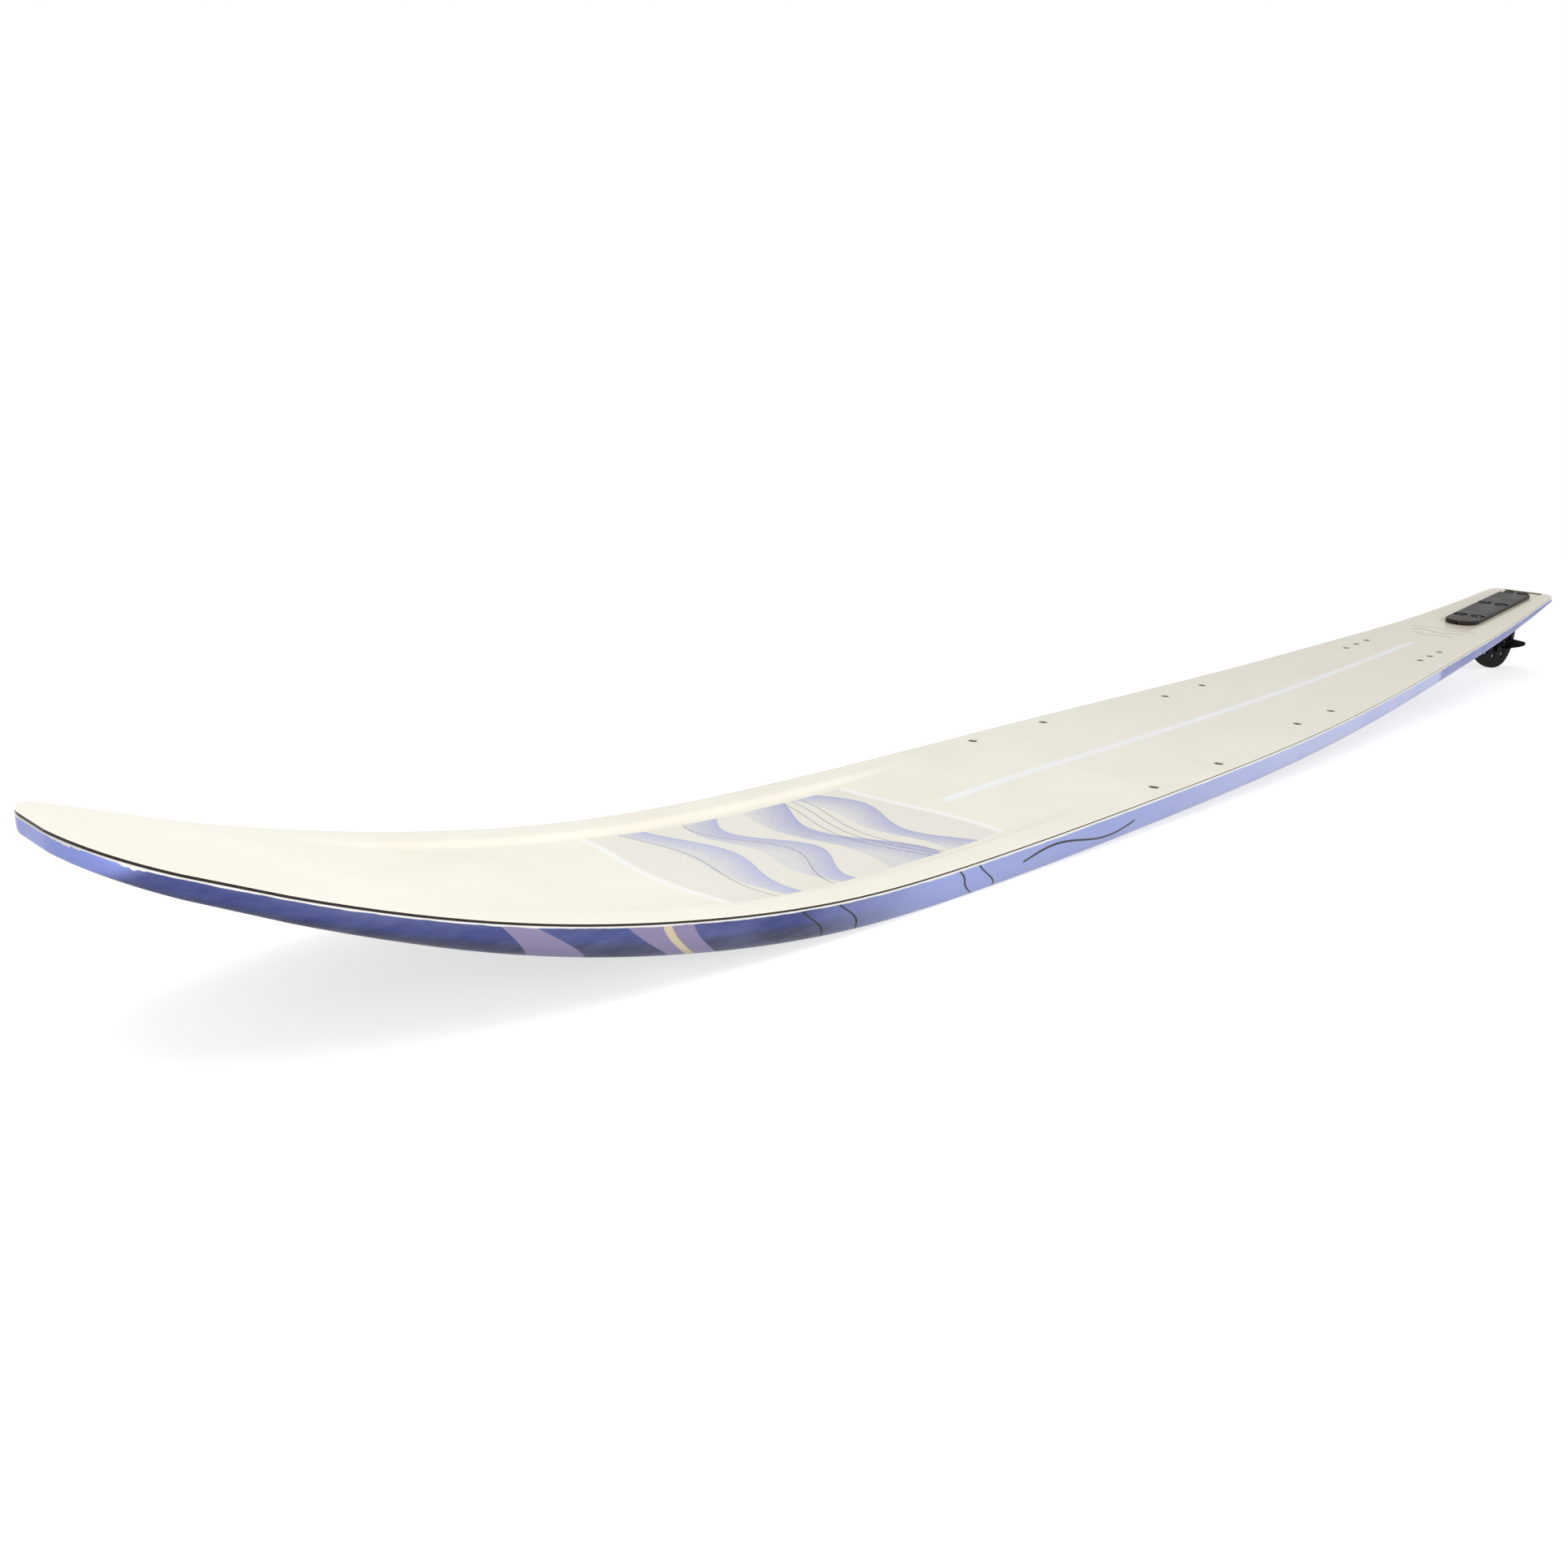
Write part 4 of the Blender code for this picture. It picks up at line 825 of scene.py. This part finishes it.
thread = []
depth = 0.0006
while depth < INSERT_DEPTH - 0.0015:
    thread += [(INSERT_BORE, -depth), (INSERT_BORE + THREAD_CUT, -depth - THREAD_PITCH / 2.0)]
    depth += THREAD_PITCH
insert_profile = [(0.0, -INSERT_DEPTH), (INSERT_BARREL, -INSERT_DEPTH), (INSERT_BARREL, -0.0022),
                  (INSERT_RADIUS, -0.0020), (INSERT_RADIUS, -0.0007), (INSERT_NECK, -0.0006),
                  (INSERT_NECK, -0.0001), (INSERT_NECK - 0.0001, 0.0), (INSERT_BORE + 0.0005, 0.0)]
insert_profile += thread + [(INSERT_BORE, -INSERT_DEPTH + 0.0012), (0.0, -INSERT_DEPTH + 0.0010)]
sample = piece("insert_sample", turned(insert_profile, 32), insert_steel, 35.0)
inserts = set_out("threaded_binding_inserts", spots, sample, insert_steel, 0.7)
inserts.data.transform(board)
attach(inserts, "ski")
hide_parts(*[f"binding_insert_{i:02d}" for i in range(1, 15)])


# Fin plate: a black glass filled nylon moulding, a stadium with a rounded upper edge and six pockets.
# It sits in the tail's seat over the clamp, and its front end takes the fore and aft screw.

PLATE_WIDTH = 0.033
PLATE_HEIGHT = 0.0045
SCREW_SPOTS = [(-0.012 + step * 0.0762, side * 0.0086) for step in (1.0, 0.0, -1.0) for side in (1.0, -1.0)]
nylon, tree, shader, place = new_finish("glass_filled_black_nylon", "#26221F", 0.46, Specular_IOR_Level=0.17)
grain = add(tree, "TexNoise", {"Vector": place, "Scale": 1500.0, "Detail": 2.0})
wear = add(tree, "TexNoise", {"Vector": place, "Scale": 60.0, "Detail": 5.0})
worn = toned(tree, wear, 0.45, 0.75, "#1F1B18", "#352E29")
gloss = add(tree, "MapRange", {0: wear, 1: 0.3, 2: 0.8, 3: 0.38, 4: 0.54})
grit = add(tree, "Bump", {"Strength": 0.15, "Distance": 0.0001, "Height": grain})
feed(shader, {"Base Color": worn, "Normal": grit, "Roughness": gloss})

ROLL = 0.0013
PLATE_STEPS = 6
plate_levels = [(0.0003, 0.0004), (0.0007, 0.0), (PLATE_HEIGHT - ROLL, 0.0)]
for sine, cosine in quarter(PLATE_STEPS):
    plate_levels.append((PLATE_HEIGHT - ROLL * (1.0 - sine), ROLL * (1.0 - cosine)))
rings = [[(x, y, height) for x, y in stadium(PLATE_LENGTH - 2.0 * inset, PLATE_WIDTH - 2.0 * inset, 40)]
         for height, inset in plate_levels]
fin_plate = piece("moulded_fin_plate", stacked(rings), nylon, 35.0)
fin_plate.data.transform(plate)
POCKET_DEPTH = 0.0021
POCKET_FLOOR = PLATE_HEIGHT - POCKET_DEPTH
SCREW_HOLE = 0.0023
pocket_profile = [(0.0, POCKET_FLOOR), (0.0063, POCKET_FLOOR), (0.0066, POCKET_FLOOR + 0.0001),
                  (0.0068, POCKET_FLOOR + 0.0004), (0.0070, PLATE_HEIGHT + 0.001), (0.0, PLATE_HEIGHT + 0.001)]
screw_places = [plate @ Matrix.Translation((x, y, 0.0)) for x, y in SCREW_SPOTS]
cut(fin_plate, merged([turned(pocket_profile, 40, spot) for spot in screw_places]))
cut(fin_plate, merged([bore(SCREW_HOLE, -0.002, PLATE_HEIGHT, 24, spot) for spot in screw_places]))


def strip(rear, front, half):
    """A plain bar outline along the ski."""
    return [(rear, -half), (front, -half), (front, half), (rear, half)]


# Room under the plate for the clamp, and for its two lips
CLAMP_REAR = -0.083
CLAMP_FRONT = 0.065
for half, low, high in ((0.0053, -0.002, 0.0028), (0.0064, -0.003, 0.0018)):
    cut(fin_plate, prism(strip(CLAMP_REAR, CLAMP_FRONT, half), low, high, plate))
length_way = plate @ Matrix.Translation((0.0, 0.0, 0.0021)) @ Matrix.Rotation(math.radians(90.0), 4, "Y")
cut(fin_plate, turned([(0.0, 0.053), (0.00155, 0.053), (0.00155, 0.0985), (0.0019, 0.1005), (0.0019, 0.104),
                       (0.0, 0.104)], 24, length_way))
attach(fin_plate, "ski")
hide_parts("fin_plate")


# Plate screws: six pan heads with a cross recess, steel blackened in zinc, through the plate into
# small inserts in the core. The bright spots are where a driver has turned them.

black_zinc, tree, shader, place = new_finish("black_zinc_steel", "#0F0F10", 0.45, Specular_IOR_Level=0.08)
rub = add(tree, "TexNoise", {"Vector": place, "Scale": 420.0, "Detail": 4.0})
tone = add(tree, "MapRange", {0: rub, 1: 0.62, 2: 0.68})
feed(shader, {"Base Color": blend_colour(tree, tone, "#0E0E0F", "#B4B2AE"), "Metallic": tone})
HEAD_SEAT = POCKET_FLOOR + 0.0003
HEAD_RADIUS = 0.0046
HEAD_HEIGHT = 0.0020


def screw_profile(reach, shank, seat, radius, height):
    """A threaded shank and a domed pan head."""
    points = [(0.0, -reach), (0.6 * shank, -reach)]
    steps = max(int((reach + seat) / THREAD_PITCH), 1)
    for i in range(steps):
        low = -reach + 0.0004 + (reach + seat - 0.0006) * i / steps
        points += [(0.82 * shank, low), (shank, low + 0.0003)]
    points += [(shank, seat), (radius, seat), (radius, seat + 0.30 * height)]
    for i in range(1, 6):
        turn = math.radians(15.0 * i)
        points.append((0.55 * radius + 0.45 * radius * math.cos(turn), seat + 0.30 * height
                       + 0.70 * height * math.sin(turn) / math.sin(math.radians(75.0))))
    return points + [(0.0, seat + height)]


def recessed_screw(reach, shank, seat, radius, height, segments):
    """A sample screw with the cross recess that a driver fits in its head."""
    made = piece("screw_sample", turned(screw_profile(reach, shank, seat, radius, height), segments),
                 black_zinc, 35.0)
    arm = strip(-0.56 * radius, 0.56 * radius, 0.0004)
    for turn in (0.0, 90.0):
        spin = Matrix.Rotation(math.radians(turn), 4, "Z")
        cut(made, prism(arm, seat + 0.45 * height, seat + 1.2 * height, spin))
    return made


sample = recessed_screw(0.0038, 0.0020, HEAD_SEAT, HEAD_RADIUS, HEAD_HEIGHT, 32)
plate_screws = set_out("fin_plate_screws", [(x, y, 0.0) for x, y in SCREW_SPOTS], sample, black_zinc, 0.9)
plate_screws.data.transform(plate)
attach(plate_screws, "ski")
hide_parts(*[f"fin_plate_screw_{i}" for i in range(1, 7)])

refinish(insert_steel, *[f"fin_plate_insert_{i}" for i in range(1, 7)])


# Fin clamp: two lipped aluminium cheeks in the tail's slot, three black bolts and steel nuts across
# them, and the small screw that moves them fore and aft. All of it sits under the plate.

milled, tree, shader, place = new_finish("clear_anodised_aluminium", "#B9BBBD", 0.36, Metallic=1.0)
drawn = add(tree, "Mapping", {"Vector": place, "Scale": (60.0, 1500.0, 1500.0)})
lines = add(tree, "TexNoise", {"Vector": drawn, "Scale": 1.0, "Detail": 2.0})
satin = add(tree, "MapRange", {0: lines, 1: 0.3, 2: 0.7, 3: 0.28, 4: 0.46})
feed(shader, {"Roughness": satin})
refinish(milled, "clamp_cheek_left", "clamp_cheek_right")
refinish(insert_steel, "length_screw", *[f"clamp_nut_{i}" for i in (1, 2, 3)])
refinish(black_zinc, *[f"clamp_bolt_{i}" for i in (1, 2, 3)])


# Fin blade: two millimetre aluminium plate, cut, edge rounded and hard anodised black. Three round
# holes lighten it, and upright slots in its tongue let it slide up and down in the clamp.

FIN_HALF = 0.0010
HEEL = (-0.1110, -0.0100)
BOTTOM = (-0.0689, -0.0780)
FRONT = (0.0600, -0.0120)
HEEL_STRAIGHT = -0.0410
TONGUE_TOP = 0.0010
FRONT_CURVE = 1.6
HEEL_CURVE = 2.5
FRONT_STEPS = 48
HEEL_STEPS = 32
TONGUE_REAR = -0.0750
FIN_CORNER = 0.003
CORNER_BITE = 0.0009
BOLTS_X = (0.038, -0.010, -0.058)
FIN_HOLES = ((-0.0120, -0.0511), (-0.0413, -0.0609), (-0.0737, -0.0645))
HOLE_RADIUS = 0.0040
THROUGH = 0.004
TONGUE_SLOT = (0.0066, 0.0036)
WING_SCREWS = (0.0, -0.0254)
WING_BORE = 0.0018
WING_TILT = 7.2
anodised, tree, shader, place = new_finish("black_anodised_aluminium", "#0A0A0B", 0.55, Specular_IOR_Level=0.015)
drawn = add(tree, "Mapping", {"Vector": place, "Scale": (90.0, 900.0, 1800.0)})
lines = add(tree, "TexNoise", {"Vector": drawn, "Scale": 1.0, "Detail": 3.0})
satin = add(tree, "MapRange", {0: lines, 1: 0.3, 2: 0.7, 3: 0.48, 4: 0.62})
feed(shader, {"Base Color": toned(tree, lines, 0.45, 0.75, "#08080A", "#111113"), "Roughness": satin})

blade = [(FRONT[0] - 0.008, TONGUE_TOP), (FRONT[0], -0.004)]
for sine, cosine in quarter(FRONT_STEPS, 0):
    blade.append((BOTTOM[0] + (FRONT[0] - BOTTOM[0]) * cosine ** (2.0 / FRONT_CURVE),
                  FRONT[1] + (BOTTOM[1] - FRONT[1]) * sine ** (2.0 / FRONT_CURVE)))
for sine, cosine in quarter(HEEL_STEPS):
    fall = max(cosine, 0.0) ** (2.0 / HEEL_CURVE)
    blade.append((BOTTOM[0] + (HEEL[0] - BOTTOM[0]) * sine ** (2.0 / HEEL_CURVE),
                  HEEL_STRAIGHT + (BOTTOM[1] - HEEL_STRAIGHT) * fall))
blade += [(HEEL[0], HEEL[1] - FIN_CORNER), (HEEL[0] + CORNER_BITE, HEEL[1] - CORNER_BITE),
          (HEEL[0] + FIN_CORNER, HEEL[1]), (TONGUE_REAR - FIN_CORNER, HEEL[1]),
          (TONGUE_REAR, HEEL[1] + FIN_CORNER), (TONGUE_REAR, TONGUE_TOP)]
fin = piece("anodised_fin_blade", prism(blade, -FIN_HALF, FIN_HALF, plate, "XZ"), anodised, 30.0)
side_way = Matrix.Rotation(math.radians(-90.0), 4, "X")
fin_cuts = [bore(HOLE_RADIUS, -THROUGH, THROUGH, 48, plate @ Matrix.Translation((x, 0.0, z)) @ side_way)
            for x, z in FIN_HOLES]
tongue_slot = [(y, x) for x, y in stadium(*TONGUE_SLOT, 10)]
for x in BOLTS_X:
    slot_place = plate @ Matrix.Translation((x, 0.0, -0.0030))
    fin_cuts.append(prism(tongue_slot, -THROUGH, THROUGH, slot_place, "XZ"))
wing_place = plate @ Matrix.Translation((WING_PIVOT[0], 0.0, WING_PIVOT[1]))
wing_place = wing_place @ Matrix.Rotation(math.radians(WING_TILT), 4, "Y")
for x in WING_SCREWS:
    hole_place = wing_place @ Matrix.Translation((x, 0.0, 0.0)) @ side_way
    fin_cuts.append(bore(WING_BORE, -THROUGH, THROUGH, 24, hole_place))
cut(fin, merged(fin_cuts))


def soften(target, width, sharp=50.0):
    """Round a piece's hard edges, and shade it smooth up to the sharp angle."""
    modifier = target.modifiers.new("soften", "BEVEL")
    modifier.width = width
    modifier.segments = 2
    modifier.limit_method = "ANGLE"
    modifier.angle_limit = math.radians(50.0)
    settle(target, target.data.materials[0])
    target.data.shade_smooth()
    target.data.set_sharp_from_angle(angle=math.radians(sharp))


soften(fin, 0.00035, 20.0)
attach(fin, "fin")
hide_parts("fin_blade")


# Wings: one on each face of the fin, a sheet of black aluminium folded to a screwed leg and a swept
# blade. The front screw is their pivot, and a slot round the rear screw lets their angle be set.

LEG_IN = 0.0013
SHEET_WING = 0.0016
FOLD_RADIUS = 0.0020
WING_REAR = -0.0340
WING_LEG_FRONT = 0.0190
WING_TOP = 0.0070
WING_FOLD = -0.0070
WING_SPAN = 0.0165
ROOT_FRONT = -0.0020
TIP_FRONT = -0.0190
SWEEP_CURVE = 1.15
REAR_SWEEP = 0.004
TIP_CORNERS = ((0.0052, 0.0042), (0.0045, 0.0050))
LEG_CORNER = 0.004
SLOT_TRAVEL = 0.00207
SLOT_HEIGHT = 0.0036
LEG_STEPS = 8
FOLD_STEPS = 8
BLADE_STEPS = 24
BLADE_COLUMNS = 12
LEG_COLUMNS = 18


def corner(into, radius):
    """How far a round corner of a radius falls away, so far into it."""
    return 1.0 - math.sqrt(max(1.0 - max(into / radius, 0.0) ** 2, 0.0))


def wing(name, side):
    """The folded sheet as rows from the leg's top, round the fold and out to the tip, then thickened."""
    middle = LEG_IN + SHEET_WING / 2.0
    fold_top = WING_FOLD + SHEET_WING / 2.0 + FOLD_RADIUS
    bm = bmesh.new()
    verts = []
    for k in range(LEG_STEPS + 1):
        z = WING_TOP + (fold_top - WING_TOP) * (k / LEG_STEPS)
        round_off = LEG_CORNER * corner(LEG_CORNER - (WING_TOP - z), LEG_CORNER)
        rear, front = WING_REAR + round_off, WING_LEG_FRONT - round_off
        row = []
        for c in range(LEG_COLUMNS + 1):
            if c <= BLADE_COLUMNS:
                x = rear + (ROOT_FRONT - rear) * c / BLADE_COLUMNS
            else:
                x = ROOT_FRONT + (front - ROOT_FRONT) * (c - BLADE_COLUMNS) / (LEG_COLUMNS - BLADE_COLUMNS)
            row.append(bm.verts.new((x, side * middle, z)))
        verts.append(row)
    fold = [(middle + FOLD_RADIUS * (1.0 - cosine), fold_top - FOLD_RADIUS * sine)
            for sine, cosine in quarter(FOLD_STEPS)]
    out_from = middle + FOLD_RADIUS
    tip = LEG_IN + SHEET_WING + WING_SPAN
    fold += [(out_from + (tip - out_from) * sine, fold[-1][1]) for sine, cosine in quarter(BLADE_STEPS)]
    for y, z in fold:
        out = max(y - out_from, 0.0) / (tip - out_from)
        sweep = ROOT_FRONT + (TIP_FRONT - ROOT_FRONT) * out ** SWEEP_CURVE
        rear = WING_REAR + REAR_SWEEP * out
        nose, tail = [long * corner(y - (tip - wide), wide) for long, wide in TIP_CORNERS]
        verts.append([bm.verts.new((rear + tail + (sweep - nose - rear - tail) * c / BLADE_COLUMNS, side * y, z))
                      for c in range(BLADE_COLUMNS + 1)])
    for one, two in zip(verts, verts[1:]):
        for c in range(min(len(one), len(two)) - 1):
            bm.faces.new((one[c], one[c + 1], two[c + 1], two[c]))
    made = piece(name, closed_mesh(bm, name), anodised, 30.0)
    modifier = made.modifiers.new("sheet", "SOLIDIFY")
    modifier.thickness = SHEET_WING
    modifier.offset = 0.0
    modifier.use_even_offset = True
    settle(made, anodised)
    made.data.transform(wing_place)
    pivot = bore(WING_BORE, -0.006, 0.006, 24, wing_place @ side_way)
    slot = prism([(y, x) for x, y in stadium(2.0 * (WING_BORE + SLOT_TRAVEL), SLOT_HEIGHT, 10)], -0.006, 0.006,
                 wing_place @ Matrix.Translation((WING_SCREWS[1], 0.0, 0.0)), "XZ")
    cut(made, merged([pivot, slot]))
    soften(made, 0.0003)
    return made


for name, side in (("left", 1.0), ("right", -1.0)):
    made = wing("folded_wing_" + name, side)
    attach(made, "wing")
    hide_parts("wing_" + name)


# Wing screws: two small pan heads on the left face and hexagon nuts on the right, black steel.
# Each passes through both wings' legs and the fin, and clamps the three together.

WING_HEAD = 0.0030
wing_seat = LEG_IN + SHEET_WING + 0.0003
sample = recessed_screw(wing_seat + 0.0014, 0.0015, wing_seat, WING_HEAD, 0.0014, 28)
wing_screws = set_out("wing_pan_screws", [(x, 0.0, 0.0) for x in WING_SCREWS], sample, black_zinc, 0.6)
wing_screws.data.transform(side_way)
wing_screws.data.transform(wing_place)
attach(wing_screws, "fin")
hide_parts("wing_screw_front", "wing_screw_rear")

nut_outline = [(WING_HEAD * math.cos(math.radians(60.0 * i)), WING_HEAD * math.sin(math.radians(60.0 * i)))
               for i in range(6)]
sample = piece("wing_nut_sample", prism(nut_outline, -wing_seat - 0.0012, -wing_seat), black_zinc, 30.0)
cut(sample, bore(WING_BORE, -0.009, 0.0, 24))
soften(sample, 0.00015)
wing_nuts = set_out("wing_hexagon_nuts", [(x, 0.0, 0.0) for x in WING_SCREWS], sample, black_zinc, 0.5)
wing_nuts.data.transform(side_way)
wing_nuts.data.transform(wing_place)
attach(wing_nuts, "fin")
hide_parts("wing_nut_front", "wing_nut_rear")


# Studio: a pale floor under the standing ski, soft lamps above it, and the camera low ahead of the nose.

FLOOR_REACH = 30.0
floor_mesh = bpy.data.meshes.new("studio_floor")
floor_mesh.from_pydata([(x * FLOOR_REACH, y * FLOOR_REACH, 0.0) for x, y in ((-1, -1), (1, -1), (1, 1), (-1, 1))],
                       [], [(0, 1, 2, 3)])


def seen_directly(tree):
    """One for what the camera, gloss and glass see, and nought for the light on the ski."""
    ray = tree.nodes.new("ShaderNodeLightPath")
    seen = ray.outputs["Is Camera Ray"]
    for kind in ("Is Glossy Ray", "Is Transmission Ray"):
        seen = add(tree, "Math", {0: seen, 1: ray.outputs[kind]}, operation="MAXIMUM")
    return seen


paper, tree, shader, place = new_finish("white_studio_paper", "#C8C8C8", 0.9, Specular_IOR_Level=0.0)
seen = seen_directly(tree)
feed(shader, {"Base Color": blend_colour(tree, seen, "#A8A8A8", "#E2E2E2")})
# Where it is seen, the paper is lifted to white, and far from the ski it is plain white to the horizon
away = add(tree, "VectorMath", {0: place}, operation="LENGTH").node.outputs["Value"]
far = add(tree, "MapRange", {0: away, 1: 0.95, 2: 1.5})
glow = add(tree, "Math", {0: seen, 1: 0.62}, operation="MULTIPLY")
lift = add(tree, "Emission", {"Strength": glow})
lifted = add(tree, "AddShader", {0: shader.outputs[0], 1: lift})
plain = add(tree, "Emission", {"Strength": seen})
mixed = add(tree, "MixShader", {0: far, 1: lifted, 2: plain})
feed(tree.nodes["Material Output"], {"Surface": mixed})
floor = piece("studio_floor", floor_mesh, paper)

world = bpy.data.worlds.new("studio")
bpy.context.scene.world = world
world.use_nodes = True
tree = world.node_tree
strength = add(tree, "MapRange", {0: seen_directly(tree), 3: 0.57, 4: 1.0})
feed(tree.nodes["Background"], {"Color": (1.0, 1.0, 1.0, 1.0), "Strength": strength})

for name, spot, aim, power, size in (("nose_soft_box", (0.80, 0.15, 0.80), (0.68, 0.0, 0.03), 2.8, 0.6),
                                     ("front_soft_box", (1.75, 1.05, 0.35), (0.78, 0.0, 0.08), 5.0, 0.6),
                                     ("side_soft_box", (-0.10, 1.70, 0.38), (-0.20, 0.0, 0.05), 13.0, 1.2)):
    lamp = bpy.data.lights.new(name, "AREA")
    lamp.energy = power
    lamp.size = size
    holder = placed(name, lamp)
    holder.location = spot
    holder.rotation_euler = (Vector(aim) - Vector(spot)).to_track_quat("-Z", "Y").to_euler()

CAMERA_SPOT = (1.7721, 0.4664, 0.2491)
CAMERA_TURN = (-137.747, -16.474, 2.595)
CAMERA_LENS = 32.12
SENSOR_WIDTH = 36.0
yaw, pitch, roll = [math.radians(angle) for angle in CAMERA_TURN]
ahead = Vector((math.cos(pitch) * math.cos(yaw), math.cos(pitch) * math.sin(yaw), math.sin(pitch)))
right = ahead.cross(Vector((0.0, 0.0, 1.0))).normalized()
up = right.cross(ahead)
right, up = (math.cos(roll) * right + math.sin(roll) * up, -math.sin(roll) * right + math.cos(roll) * up)
looking = Matrix((right, up, -ahead)).transposed().to_4x4()
looking.translation = Vector(CAMERA_SPOT)
eye = bpy.data.cameras.new("photo_camera")
eye.sensor_width = SENSOR_WIDTH
eye.lens = CAMERA_LENS
eye.clip_start = 0.01
camera = placed("photo_camera", eye)
camera.matrix_world = board @ looking
bpy.context.scene.camera = camera
bpy.context.scene.view_settings.view_transform = "Standard"

bpy.context.view_layer.update()
